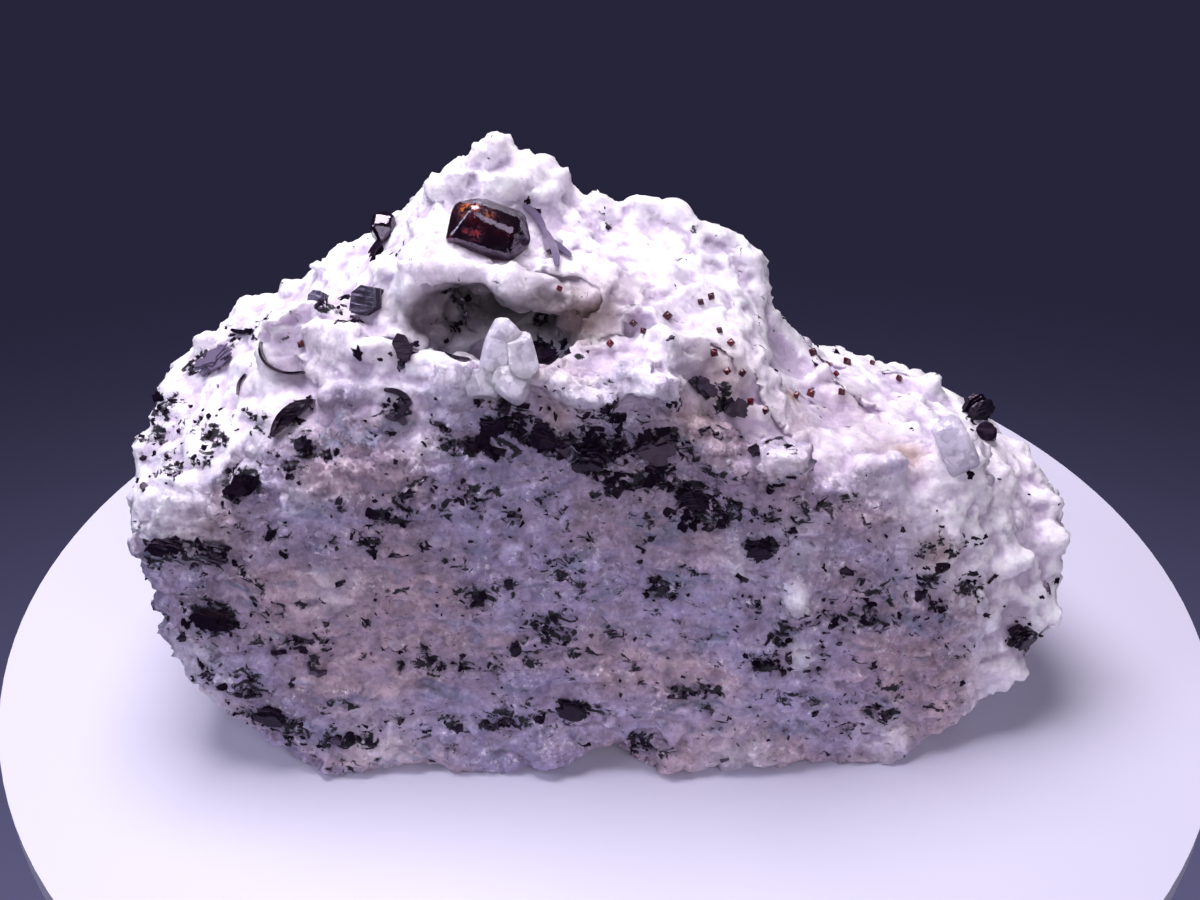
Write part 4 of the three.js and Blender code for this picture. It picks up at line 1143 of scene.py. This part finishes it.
PATCHES = {  # crowded flakes: pixel of the middle, half width, half height, turn in degrees, flakes
    "border_left": ((515, 418), 38, 15, 18, 40),
    "border_left_low": ((470, 445), 36, 7, 4, 24),
    "border_middle": ((548, 440), 34, 12, 8, 40),
    "border_middle_right": ((598, 442), 24, 14, 20, 34),
    "border_under": ((590, 470), 52, 8, 24, 34),
    "border_right": ((652, 445), 34, 18, -8, 60),
    "border_right_low": ((658, 475), 18, 10, 0, 20),
    "border_end": ((705, 500), 30, 12, 28, 34),
    "border_end_low": ((700, 520), 22, 8, 0, 12),
    "below_terrace": ((722, 396), 26, 10, 38, 18),
    "glossy": ((757, 548), 16, 10, 5, 10),
    "middle_knot": ((400, 512), 22, 14, 10, 16),
    "middle_ring": ((372, 545), 18, 16, 60, 14),
    "ring_left": ((238, 484), 22, 18, -48, 34),
    "left_dots": ((290, 470), 16, 8, 30, 8),
    "curl": ((398, 405), 13, 16, 65, 14),
    "big_curl": ((292, 415), 18, 12, -35, 12),
    "dot": ((304, 446), 8, 9, 0, 8),
    "dot_right": ((328, 452), 8, 6, 20, 5),
    "streak_far_left": ((165, 548), 26, 7, 8, 30),
    "streak_left": ((205, 552), 16, 7, 14, 14),
    "blot_left": ((212, 620), 30, 15, 12, 46),
    "blot_foot": ((270, 718), 22, 9, 8, 20),
    "foot_left": ((322, 738), 36, 10, 4, 24),
    "foot_middle": ((500, 722), 22, 7, 10, 20),
    "foot_right": ((572, 708), 20, 9, 20, 16),
    "low_middle": ((640, 742), 26, 8, 0, 14),
    "low_right": ((882, 714), 16, 9, 10, 16),
    "right_foot": ((1026, 638), 14, 9, -12, 18),
    "right_streak": ((958, 542), 28, 9, -6, 18),
    "right_dots": ((970, 586), 16, 12, 30, 12),
    "right_mid": ((935, 605), 12, 8, -20, 8),
    "corner": ((980, 415), 12, 20, 65, 26),
    "left_slope": ((205, 366), 24, 12, 5, 14),
    "left_slope_up": ((250, 330), 26, 10, -30, 10),
    "left_slope_mid": ((200, 420), 60, 26, 10, 34),
    "left_slope_low": ((170, 450), 40, 22, 20, 24),
    "left_slope_foot": ((175, 470), 36, 8, -30, 14),
    "left_blades": ((252, 418), 12, 8, -20, 6),
    "left_edge": ((140, 485), 12, 10, 45, 8),
    "left_crest": ((168, 402), 12, 14, 70, 12),
    "hollow_floor": ((540, 350), 24, 18, 25, 26),
    "hollow_back": ((455, 300), 14, 8, 20, 10),
    "hollow_front": ((458, 326), 14, 6, 30, 8),
    "hollow_right": ((546, 318), 12, 6, 0, 8),
    "under_main": ((402, 350), 11, 14, 60, 12),
    "left_pair": ((320, 302), 12, 7, 20, 8),
    "slope_dots": ((350, 318), 30, 18, 20, 8),
    "middle_band": ((455, 492), 40, 10, 16, 16),
    "middle_streak": ((548, 628), 26, 12, 22, 16),
    "lower_streak": ((478, 600), 22, 9, 18, 14),
    "lower_band": ((440, 662), 50, 10, 10, 18),
    "lower_right_band": ((690, 690), 60, 14, 6, 26),
    "centre_knot": ((660, 590), 24, 14, 20, 14),
    "centre_right": ((860, 620), 40, 16, 10, 22),
    "right_band": ((780, 660), 40, 12, 4, 18),
}


def flake_seats(surface, mesh, settings):
    """Where flakes sit: their places, turns and widths, on the rock's surface."""
    random = np.random.default_rng(11)
    seats = []

    def seat(place, normal, width, spread):
        """One flake that lies near the foliation or the surface and stands a little out of it."""
        across = FOLIATION if random.uniform() < 0.6 else normal
        across = (across + Vector(random.normal(size=3)) * spread).normalized()
        aspect = random.uniform(0.5, 1.0)
        edge_on = math.sqrt(max(0.0, 1 - across.dot(normal) ** 2))
        stands_out = random.uniform(0.03, 0.16) * MM
        depth = 0.5 * width * (aspect * edge_on + 0.1 * abs(across.dot(normal))) - stands_out
        turn = across.to_track_quat("Z", "Y") @ Euler((0, 0, random.uniform(0, math.tau))).to_quaternion()
        seats.append((place - normal * max(depth, 0), turn.to_euler(), (width, width * aspect, width)))

    for name, ((px, py), half_width, half_height, turn, count) in PATCHES.items():
        swing = math.radians(turn)
        largest = 1.5 if name.startswith("border") else 0.6 if name.startswith("left_slope") else 0.85
        for _ in range(count):
            along, aside = random.normal(size=2) * 0.5
            x, y = along * half_width, aside * half_height
            hit = surface.ray_cast(
                *line_of_sight(
                    px + x * math.cos(swing) - y * math.sin(swing),
                    py + x * math.sin(swing) + y * math.cos(swing),
                )
            )
            if hit[0] is not None:
                seat(hit[0], hit[1], random.uniform(0.25, largest) * MM, 0.45)

    mesh.calc_loop_triangles()
    corners = np.array([triangle.vertices[:] for triangle in mesh.loop_triangles])
    places = coordinates(mesh)[corners]
    areas = np.array([triangle.area for triangle in mesh.loop_triangles])
    middles = places.mean(axis=1)
    sugary = sugariness(middles)
    smooth = near_spots(surface, middles, SMOOTH)
    wanted = areas * (1 - 0.82 * sugary) * (1 - 0.9 * smooth) * (middles[:, 2] > 0.4 * MM)
    picks = random.choice(len(areas), size=6 * settings.flakes, p=wanted / wanted.sum())
    placed = 0
    for pick in picks:
        place = Vector(middles[pick])
        layered = Vector((place.x * 0.55, place.y * 0.8, (place.z + 0.16 * place.x) * 1.7)) / (2.6 * MM)
        crowding = noise.noise(layered) + 0.5 * noise.noise(layered * 2.7)
        if random.uniform() > 0.08 + 1.6 * max(crowding, 0):
            continue
        width = settings.smallest + (settings.largest - settings.smallest) * random.uniform() ** 2.4
        seat(place, mesh.loop_triangles[pick].normal.copy(), width * MM, 0.35)
        placed += 1
        if placed >= settings.flakes:
            break
    return seats


def seated_tree(name, made):
    """Puts a shape on each point, turned and sized as the point says."""
    tree, given = geometry_tree(name, {"Shapes": ("NodeSocketCollection", None)})
    attribute = "GeometryNodeInputNamedAttribute"
    turn = add(tree, attribute, {"Name": "turn"}, data_type="FLOAT_VECTOR").outputs[0]
    size = add(tree, attribute, {"Name": "size"}, data_type="FLOAT_VECTOR").outputs[0]
    shapes = add(
        tree,
        "GeometryNodeCollectionInfo",
        {"Collection": given["Shapes"], "Separate Children": True, "Reset Children": True},
    ).outputs[0]
    rotation = add(tree, "FunctionNodeEulerToRotation", {0: turn}).outputs[0]
    points = add(tree, "GeometryNodeMeshToPoints", {"Mesh": given["Geometry"]}).outputs[0]
    placed = add(
        tree,
        "GeometryNodeInstanceOnPoints",
        {"Points": points, "Instance": shapes, "Pick Instance": True, "Rotation": rotation, "Scale": size},
    ).outputs[0]
    close_tree(tree, placed, made)
    return tree


def seated_shapes(name, seats, make_shape, count, made):
    """A piece with a shape on each seat, from a few shapes made by a function of a seed."""
    points = bpy.data.meshes.new(name)
    points.from_pydata([place for place, _, _ in seats], [], [])
    for label, column in (("turn", 1), ("size", 2)):
        layer = points.attributes.new(label, "FLOAT_VECTOR", "POINT")
        layer.data.foreach_set("vector", [part for seat in seats for part in seat[column]])
    shapes = bpy.data.collections.new(f"{name}_shapes")
    for seed in range(count):
        shapes.objects.link(make_shape(seed))
    piece = run_tree(new_piece(name, points), seated_tree(f"{name} tree", made), {"Shapes": shapes})
    discard(*shapes.objects)
    return piece


def darken_round(rock, seats):
    """Stores how much mica shows through the rock round each flake."""
    places = coordinates(rock.data)
    finder = KDTree(len(seats))
    for n, (place, _, _) in enumerate(seats):
        finder.insert(place, n)
    finder.balance()
    dusk = np.zeros(len(places))
    for n, place in enumerate(places):
        near = finder.find_range(place, 0.9 * MM)
        dusk[n] = sum(math.exp(-((distance / (0.4 * MM)) ** 2)) for _, _, distance in near)
    store(rock.data, "dusky", np.clip(0.34 * dusk, 0, 0.85))


class SPECIMEN_OT_flakes(bpy.types.Operator):
    """Scatters biotite flakes over the rock and crowds them in the dark patches"""

    bl_idname = "specimen.flakes"
    bl_label = "Mica Flakes"

    def execute(self, context):
        settings = context.scene.specimen_mica
        rock = bpy.data.objects["albite_rock"]
        surface = BVHTree.FromObject(rock, context.evaluated_depsgraph_get())
        seats = flake_seats(surface, rock.data, settings)
        darken_round(rock, seats)
        dull = mica_material("biotite", settings.black, settings.brown)
        shiny = mica_material("biotite_shiny", settings.black, settings.brown, 0.9)
        for name, made, share in (
            ("biotite_flakes", dull, [seat for n, seat in enumerate(seats) if n % 6]),
            ("biotite_shiny_flakes", shiny, seats[::6]),
        ):
            flakes = seated_shapes(name, share, flake_shape, 10, made)
            standing_for(grounded(flakes), "biotite")
        return {"FINISHED"}


def own_axes(bm):
    """The middle of a bmesh and its axes, longest first."""
    places = np.array([vertex.co[:] for vertex in bm.verts])
    middle = (places.max(axis=0) + places.min(axis=0)) / 2
    _, _, axes = np.linalg.svd(places - places.mean(axis=0))
    if np.linalg.det(axes) < 0:
        axes[2] *= -1
    spread = (places - middle) @ axes.T
    middle = middle + ((spread.max(axis=0) + spread.min(axis=0)) / 2) @ axes
    return Vector(middle), axes, np.ptp(spread, axis=0)


WHOLE_BOOKS = ("biotite_hexagon_large", "biotite_hexagon_small", "biotite_oval")
GREY_BOOKS = ("biotite_hexagon_small", "biotite_hexagon_large")


def mica_book(node, seed):
    """A biotite book in the place of a frame node: a pile of sheets, ragged unless it is a whole crystal."""
    solid = merged_copy(node)
    middle, axes, sizes = own_axes(solid)
    solid.free()
    whole = node in WHOLE_BOOKS
    random = np.random.default_rng(300 + seed)
    lie = Matrix(axes.T.tolist()).to_4x4()
    lie.translation = middle
    bm = bmesh.new()
    sheets = 8
    for n in range(sheets):
        height = (n + 0.5) / sheets - 0.5
        shrink = random.uniform(0.92, 1.0) if whole else random.uniform(0.8, 1.1)
        slide = random.uniform(-0.04, 0.04, size=2)
        place = lie @ Matrix.Translation((slide[0] * sizes[0], slide[1] * sizes[1], height * sizes[2]))
        turn = Matrix.Rotation(random.uniform(-0.1, 0.1) * (1 if whole else 3), 4, "Z")
        sizing = Matrix.Diagonal((sizes[0] * shrink, sizes[1] * shrink, sizes[2], 1))
        outline = np.random.default_rng(300 + seed + (0 if whole else n // 2))
        raggedness = 0.3 if "corner" in node else 0.65
        shape = {"corners": 6, "raggedness": 0.12} if whole else {"corners": 12, "raggedness": raggedness}
        add_sheet(bm, outline, place @ turn @ sizing, 0.9 / sheets, **shape)
    bmesh.ops.recalc_face_normals(bm, faces=bm.faces)
    return new_piece(f"mica_{node}", mesh_of(bm, f"mica_{node}"))


# Bent sheets seen edge-on: the pixels along each, its width in the picture and its depth, both in mm.
RIBBONS = {
    "biotite_bent_blade": (
        ([(273, 437), (276, 424), (284, 412), (297, 403), (315, 400)], 0.24, 0.8),
        ([(275, 434), (286, 425), (299, 414), (312, 402)], 0.16, 0.8),
        ([(279, 429), (288, 418), (301, 408)], 0.3, 0.3),
    ),
    "biotite_crescent": (
        ([(385, 390), (396, 391), (406, 396), (412, 404)], 0.26, 0.7),
        ([(412, 403), (404, 408), (401, 415), (396, 420), (386, 416)], 0.26, 0.7),
        ([(399, 415), (406, 425)], 0.3, 0.6),
    ),
    "biotite_fork_upper": (
        ([(524, 206), (533, 212), (541, 222), (547, 236)], 0.28, 0.6),
        ([(528, 206), (538, 214), (545, 226)], 0.16, 0.4),
    ),
    "biotite_fork_lower": (
        ([(544, 230), (550, 240), (556, 252), (557, 266)], 0.36, 0.6),
        ([(546, 232), (545, 240), (549, 250)], 0.3, 0.5),
        ([(550, 240), (560, 247), (571, 256)], 0.26, 0.6),
    ),
    "slivers": (
        ([(262, 342), (261, 353), (267, 364), (278, 371), (291, 374), (305, 372)], 0.13, 0.9),
        ([(438, 350), (452, 357), (470, 359)], 0.14, 0.7),
        ([(246, 374), (239, 383), (238, 395)], 0.1, 0.5),
        ([(232, 330), (243, 333), (254, 330)], 0.2, 0.6),
    ),
}


def add_ribbon(bm, surface, pixels, width, depth):
    """Adds a bent sheet that follows pixels on the rock, narrowing towards both ends."""
    places = [picture_seat(surface, pixel, 0, 0.12)[0] for pixel in pixels]
    # A smooth line through the places, drawn by halving and averaging.
    for _ in range(3):
        finer = [places[0]]
        for before, after in zip(places, places[1:]):
            finer += [before.lerp(after, 0.25), before.lerp(after, 0.75)]
        places = finer + [places[-1]]
    forward = Vector((0, math.cos(CAMERA_TILT), -math.sin(CAMERA_TILT)))
    rings = []
    for n, place in enumerate(places):
        along = places[min(n + 1, len(places) - 1)] - places[max(n - 1, 0)]
        aside = along.cross(forward).normalized()
        share = n / (len(places) - 1)
        half = 0.5 * width * MM * (0.25 + 0.75 * math.sin(math.pi * share) ** 0.6)
        rings.append(
            [
                bm.verts.new(place + aside * x * half + forward * y * 0.5 * depth * MM)
                for x, y in ((-1, -1), (1, -1), (1, 1), (-1, 1))
            ]
        )
    for one, other in zip(rings, rings[1:]):
        for n in range(4):
            bm.faces.new((one[n], one[(n + 1) % 4], other[(n + 1) % 4], other[n]))
    bm.faces.new(rings[0])
    bm.faces.new(reversed(rings[-1]))


class SPECIMEN_OT_books(bpy.types.Operator):
    """Builds each biotite book as a pile of thin sheets"""

    bl_idname = "specimen.books"
    bl_label = "Mica Books"

    def execute(self, context):
        settings = context.scene.specimen_mica
        black = mica_material("biotite_books", settings.black, settings.brown, 0.2)
        grey = mica_material("biotite_grey", (0.035, 0.03, 0.05), (0.015, 0.012, 0.02), 0.8)
        # Painted light: a paler purple-grey copy of the black biotite, for the lit forks and the grey plate.
        lit_grey = mica_material("biotite_silver", (0.15, 0.12, 0.2), (0.07, 0.055, 0.1), 0.1)
        for seed, node in enumerate(n for n in crystal_nodes() if n.startswith("biotite")):
            if node not in RIBBONS:
                piece = mica_book(node, seed)
                plain = lit_grey if node == "biotite_grey_plate" else black
                piece.data.materials.append(grey if node in GREY_BOOKS else plain)
                standing_for(piece, "biotite", node)
        rock = bpy.data.objects["albite_rock"]
        surface = BVHTree.FromObject(rock, context.evaluated_depsgraph_get())
        for name, ribbons in RIBBONS.items():
            bm = bmesh.new()
            for pixels, width, depth in ribbons:
                add_ribbon(bm, surface, pixels, width, depth)
            bmesh.ops.recalc_face_normals(bm, faces=bm.faces)
            piece = new_piece(f"mica_{name}", mesh_of(bm, f"mica_{name}"))
            piece.data.materials.append(lit_grey if "fork" in name else black)
            standing_for(piece, "biotite", *((name,) if name in frame["nodes"] else ()))
        return {"FINISHED"}


# ------------------------------------------------------------------------------- loose grains


# Clear single grains, told in the same way as the lumps of the rock.
GRAINS = {
    "upright": ((499, 356), 1.5, 3.0, 14, -30, 0.2),
    "upright_right": ((521, 356), 1.3, 1.9, -14, -24, 0.1),
    "upright_foot": ((513, 382), 1.7, 1.5, 30, -10, 0.3),
    "upright_left": ((484, 384), 1.4, 1.4, 0, -10, 0.1),
    "slab": ((954, 448), 1.5, 2.7, -24, -8, 0.0),
}


def clear_albite_material():
    """Clear single grains of albite: sugary, and lit through from behind."""
    made, tree, shader = material("albite_clear")
    place = add(tree, "ShaderNodeTexCoord").outputs["Object"]
    tones = smooth_step(tree, noise_value(tree, place, 1.6, 4.0), 0.3, 0.72)
    tone = mixed(tree, tones, (0.74, 0.69, 0.82, 1.0), (0.58, 0.53, 0.67, 1.0))
    tree.links.new(tone, shader.inputs["Base Color"])
    shader.inputs["Roughness"].default_value = 0.3
    shader.inputs["IOR"].default_value = 1.53
    shader.inputs["Transmission Weight"].default_value = 0.12
    shader.inputs["Subsurface Weight"].default_value = 0.5
    shader.inputs["Subsurface Radius"].default_value = (1.0, 1.0, 1.0)
    shader.inputs["Subsurface Scale"].default_value = 0.8 * MM
    height = math_node(tree, "ADD", cleavage_height(tree, place, 0.6), cleavage_height(tree, place, 0.25))
    bump = add(tree, "ShaderNodeBump", {"Strength": 0.6, "Distance": 1.0, "Height": height})
    tree.links.new(bump.outputs[0], shader.inputs["Normal"])
    return made


def grain_seats(surface, mesh, settings):
    """Where clear grains sit: the named ones, and small ones on the grainy slopes."""
    random = np.random.default_rng(23)
    seats = []
    for pixel, width, height, turn, lift, ahead in GRAINS.values():
        place = picture_seat(surface, pixel, lift, ahead)[0]
        size = Vector((width, 0.8 * min(width, height), height)) * 0.58 * MM
        seats.append((place, lean_of(turn).to_euler(), size))
    mesh.calc_loop_triangles()
    corners = np.array([triangle.vertices[:] for triangle in mesh.loop_triangles])
    middles = coordinates(mesh)[corners].mean(axis=1)
    areas = np.array([triangle.area for triangle in mesh.loop_triangles])
    smooth = near_spots(surface, middles, SMOOTH)
    wanted = areas * sugariness(middles) * (1 - smooth) * (1 - hollowness(middles))
    for pick in random.choice(len(areas), size=settings.loose_grains, p=wanted / wanted.sum()):
        radius = random.uniform(0.2, 0.42) * MM
        place = Vector(middles[pick]) - mesh.loop_triangles[pick].normal * radius * random.uniform(0.1, 0.5)
        size = Vector(random.uniform(0.8, 1.2, size=3)) * radius
        seats.append((place, Euler(random.uniform(0, math.tau, size=3)), size))
    return seats


class SPECIMEN_OT_grains(bpy.types.Operator):
    """Sets clear single grains of albite on the rock"""

    bl_idname = "specimen.grains"
    bl_label = "Clear Grains"

    def execute(self, context):
        rock = bpy.data.objects["albite_rock"]
        surface = BVHTree.FromObject(rock, context.evaluated_depsgraph_get())
        seats = grain_seats(surface, rock.data, context.scene.specimen_rock)
        named, loose = seats[: len(GRAINS)], seats[len(GRAINS) :]
        made = clear_albite_material()
        grains = seated_shapes("albite_grains", named, clear_grain_shape, len(GRAINS), made)
        loose_grains = seated_shapes("albite_loose_grains", loose, grain_shape, 6, made)
        loose_grains.data.shade_smooth()
        standing_for(grains, "albite")
        standing_for(loose_grains, "albite")
        return {"FINISHED"}


# ------------------------------------------------------------------------------- pyrochlore


PAINTED_GLOWS = {  # a painted glow: where the main crystal is coloured orange and red, and lets less through, to stand for light coming back through it: pixel, radius in mm, strength
    "corner": ((465, 208), 0.42, 1.0),
    "corner_edge": ((475, 206), 0.3, 0.9),
    "under_ridge": ((489, 214), 0.3, 0.7),
    "red_spot": ((475, 233), 0.3, 0.9),
    "red_spot_left": ((466, 231), 0.16, 0.8),
    "low_left": ((452, 238), 0.2, 0.4),
}


def pyrochlore_material(name, settings, thickening=1.0):
    """Dark, glassy red-brown crystal with an orange glow painted into its colour where light would come back
    through it.
    """
    made, tree, shader = material(name)
    place = add(tree, "ShaderNodeTexCoord").outputs["Object"]
    # Painted glow: orange and red colour at the listed spots, more orange higher up, with less transmission
    # there.
    glow = add(tree, "ShaderNodeAttribute", attribute_name="glow").outputs["Fac"]
    glow_patches = smooth_step(tree, noise_value(tree, place, 0.25, 4.0, Distortion=1.5), 0.42, 0.6)
    glow = math_node(tree, "MULTIPLY", glow, glow_patches)
    height = add(tree, "ShaderNodeSeparateXYZ", {0: place}).outputs["Z"]
    high = smooth_step(tree, height, 22.7 * MM, 23.1 * MM)
    warmth = mixed(tree, high, (0.62, 0.045, 0.035, 1.0), (0.85, 0.22, 0.01, 1.0))
    tone = mixed(tree, glow, (0.24, 0.10, 0.18, 1.0), warmth)
    tree.links.new(tone, shader.inputs["Base Color"])
    through = math_node(tree, "SUBTRACT", 0.97, math_node(tree, "MULTIPLY", glow, 0.8))
    tree.links.new(through, shader.inputs["Transmission Weight"])
    shader.inputs["IOR"].default_value = 1.96
    shader.inputs["Specular Tint"].default_value = (0.86, 0.76, 1.0, 1.0)
    worn = noise_value(tree, place, 0.5, 3.0)
    tree.links.new(smooth_step(tree, worn, 0.4, 0.7, 0.03, 0.2), shader.inputs["Roughness"])
    bump = add(tree, "ShaderNodeBump", {"Strength": 0.35, "Distance": 0.12 * MM, "Height": worn})
    tree.links.new(bump.outputs[0], shader.inputs["Normal"])
    volume = add(
        tree,
        "ShaderNodeVolumeAbsorption",
        {"Color": rgba(settings.tint), "Density": settings.density * thickening},
    )
    tree.links.new(volume.outputs[0], tree.nodes["Material Output"].inputs["Volume"])
    return made


def small_pyrochlore_material():
    """The small crystals: dark red-brown and glassy."""
    made, tree, shader = material("pyrochlore_small")
    place = add(tree, "ShaderNodeTexCoord").outputs["Object"]
    share = smooth_step(tree, noise_value(tree, place, 1.3, 2.0), 0.4, 0.65)
    tone = mixed(tree, share, (0.03, 0.002, 0.007, 1.0), (0.10, 0.007, 0.015, 1.0))
    tree.links.new(tone, shader.inputs["Base Color"])
    shader.inputs["Roughness"].default_value = 0.18
    shader.inputs["IOR"].default_value = 1.9
    shader.inputs["Specular IOR Level"].default_value = 0.25
    shader.inputs["Specular Tint"].default_value = (1.0, 0.78, 0.85, 1.0)
    return made


# How the main crystal's outline is drawn: pixels of its frame shape, and where they go.
OUTLINE = (
    ((449, 212), (457, 204)),
    ((478, 197), (483, 200)),
    ((455, 240), (445, 238)),
    ((500, 260), (508, 261)),
    ((530, 239), (530, 238)),
    ((512, 212), (515, 212)),
)


def redrawn(bm):
    """Moves the vertices of a bmesh across the camera's view, to give the main crystal its outline."""
    up = Vector((0, math.sin(CAMERA_TILT), math.cos(CAMERA_TILT)))
    ahead = Vector((0, math.cos(CAMERA_TILT), -math.sin(CAMERA_TILT)))
    focal = PICTURE_WIDTH * LENS / SENSOR
    for vertex in bm.verts:
        away = vertex.co - CAMERA_PLACE
        size = away.dot(ahead) / focal  # of a pixel, there
        x = PICTURE_WIDTH / 2 + away.x / size
        y = PICTURE_HEIGHT / 2 - away.dot(up) / size
        pulls = [math.exp(-((x - old[0]) ** 2 + (y - old[1]) ** 2) / 18**2) for old, _ in OUTLINE]
        right = sum(pull * (new[0] - old[0]) for pull, (old, new) in zip(pulls, OUTLINE)) / sum(pulls)
        down = sum(pull * (new[1] - old[1]) for pull, (old, new) in zip(pulls, OUTLINE)) / sum(pulls)
        vertex.co += (Vector((right, 0, 0)) - up * down) * size


def worn_crystal(node, worn_edge, levels, swell=1.0):
    """A copy of a crystal with its edges worn round, swelled a little sideways."""
    bm = merged_copy(node)
    low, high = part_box(node)
    middle = (Vector(low) + Vector(high)) / 2
    bmesh.ops.scale(bm, vec=(swell, 1, swell**0.5), space=Matrix.Translation(-middle), verts=bm.verts)
    bmesh.ops.dissolve_limit(bm, angle_limit=0.02, verts=bm.verts, edges=bm.edges)
    if node == "pyrochlore_main":
        redrawn(bm)
    piece = new_piece(f"crystal_{node}", mesh_of(bm, f"crystal_{node}"))
    bevel = piece.modifiers.new("worn edges", "BEVEL")
    bevel.width = worn_edge
    bevel.segments = levels
    bevel.limit_method = "ANGLE"
    bevel.angle_limit = math.radians(12)
    settled(piece)
    piece.data.shade_smooth()
    return piece


class SPECIMEN_OT_pyrochlores(bpy.types.Operator):
    """Gives the pyrochlore crystals their worn edges and glassy looks"""

    bl_idname = "specimen.pyrochlores"
    bl_label = "Pyrochlore Crystals"

    def execute(self, context):
        settings = context.scene.specimen_pyrochlore
        looks = {
            "pyrochlore_main": pyrochlore_material("pyrochlore", settings),
            "pyrochlore_left": pyrochlore_material("pyrochlore_dark", settings, 4.0),
        }
        small = small_pyrochlore_material()
        for node in crystal_nodes():
            if not node.startswith("pyrochlore"):
                continue
            low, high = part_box(node)
            share = min(1.0, (high - low).length / (5 * MM))
            clear = node in CLEAR_CRYSTALS
            swell = 1.06 if clear else 1.0
            piece = worn_crystal(node, settings.worn_edge * MM * share, 5 if clear else 2, swell)
            if clear:
                evened = remeshed(piece, 0.07 * MM)
                surface = BVHTree.FromObject(evened, context.evaluated_depsgraph_get())
                store(evened.data, "glow", near_spots(surface, coordinates(evened.data), PAINTED_GLOWS))
                evened.data.shade_smooth()
            piece.data.materials.append(looks.get(node, small))
            standing_for(piece, "pyrochlore", node)
        return {"FINISHED"}


# ------------------------------------------------------------------------------- stage


def area_light(name, place, size, power, tint=(1, 1, 1), target=(0, 0, 10 * MM)):
    """A soft area light that shines at a point."""
    light = bpy.data.lights.new(name, "AREA")
    light.shape = "DISK"
    light.size = size
    light.energy = power
    light.color = tint
    lamp = new_piece(name, light)
    lamp.location = place
    lamp.rotation_euler = (Vector(target) - Vector(place)).to_track_quat("-Z", "Y").to_euler()


class SPECIMEN_OT_stage(bpy.types.Operator):
    """Sets up the floor, the light and the camera"""

    bl_idname = "specimen.stage"
    bl_label = "Stage"

    def execute(self, context):
        settings = context.scene.specimen_stage
        bm = bmesh.new()
        bmesh.ops.create_cone(
            bm,
            cap_ends=True,
            segments=128,
            radius1=settings.floor_radius * MM,
            radius2=settings.floor_radius * MM,
            depth=1.5 * MM,
        )
        bmesh.ops.translate(bm, verts=bm.verts, vec=(0, 0, -0.75 * MM - 0.00001))
        floor = new_piece("floor", mesh_of(bm, "floor"))
        made, tree, shader = material("floor")
        shader.inputs["Base Color"].default_value = rgba(settings.floor_colour)
        shader.inputs["Roughness"].default_value = 0.45
        floor.data.materials.append(made)

        area_light("top_light", (-0.03, 0.045, 0.165), 0.12, 0.40, (1.0, 0.95, 1.0))
        area_light("left_light", (-0.14, -0.03, 0.11), 0.08, 0.09, (0.80, 0.85, 1.0))
        area_light("front_light", (0.04, -0.17, 0.09), 0.18, 0.19, (0.97, 0.91, 1.0))

        world = bpy.data.worlds.new("slate")
        world.use_nodes = True
        context.scene.world = world
        sky = world.node_tree
        way = add(sky, "ShaderNodeTexCoord").outputs["Generated"]
        height = add(sky, "ShaderNodeSeparateXYZ", {0: way}).outputs["Z"]
        share = smooth_step(sky, height, -0.8, -0.42)
        tint = mixed(sky, share, (0.12, 0.113, 0.23, 1.0), (0.0195, 0.0183, 0.0415, 1.0))
        sky.links.new(tint, sky.nodes["Background"].inputs["Color"])

        camera = bpy.data.cameras.new("camera")
        camera.sensor_width = SENSOR
        camera.lens = LENS
        camera.clip_start = 1 * MM
        view = new_piece("camera", camera)
        view.location = CAMERA_PLACE
        view.rotation_euler = (math.pi / 2 - CAMERA_TILT, 0, 0)
        context.scene.camera = view
        context.scene.view_settings.view_transform = "Standard"
        return {"FINISHED"}


# ------------------------------------------------------------------------------- panel and main


STEPS = (
    SPECIMEN_OT_stage,
    SPECIMEN_OT_rock,
    SPECIMEN_OT_grains,
    SPECIMEN_OT_flakes,
    SPECIMEN_OT_books,
    SPECIMEN_OT_pyrochlores,
)


class SPECIMEN_PT_panel(bpy.types.Panel):
    """Lists the steps that build the specimen and their settings"""

    bl_idname = "SPECIMEN_PT_panel"
    bl_label = "Pyrochlore Specimen"
    bl_space_type = "VIEW_3D"
    bl_region_type = "UI"
    bl_category = "Specimen"

    def draw(self, context):
        for step in STEPS:
            self.layout.operator(step.bl_idname)
        for name, group in SETTINGS.items():
            box = self.layout.box()
            for prop in group.__annotations__:
                box.prop(getattr(context.scene, name), prop)


CLASSES = (*SETTINGS.values(), *STEPS, SPECIMEN_PT_panel)


def register():
    """Registers the classes and hangs the settings on the scene."""
    for cls in CLASSES:
        bpy.utils.register_class(cls)
    for name, group in SETTINGS.items():
        setattr(bpy.types.Scene, name, PointerProperty(type=group))


def unregister():
    """Takes the settings off the scene and removes the classes."""
    for name in SETTINGS:
        delattr(bpy.types.Scene, name)
    for cls in reversed(CLASSES):
        bpy.utils.unregister_class(cls)


def main():
    """Builds the specimen."""
    register()
    bpy.ops.specimen.stage()
    bpy.ops.specimen.rock()
    bpy.ops.specimen.grains()
    bpy.ops.specimen.flakes()
    bpy.ops.specimen.books()
    bpy.ops.specimen.pyrochlores()


if __name__ == "__main__":
    main()
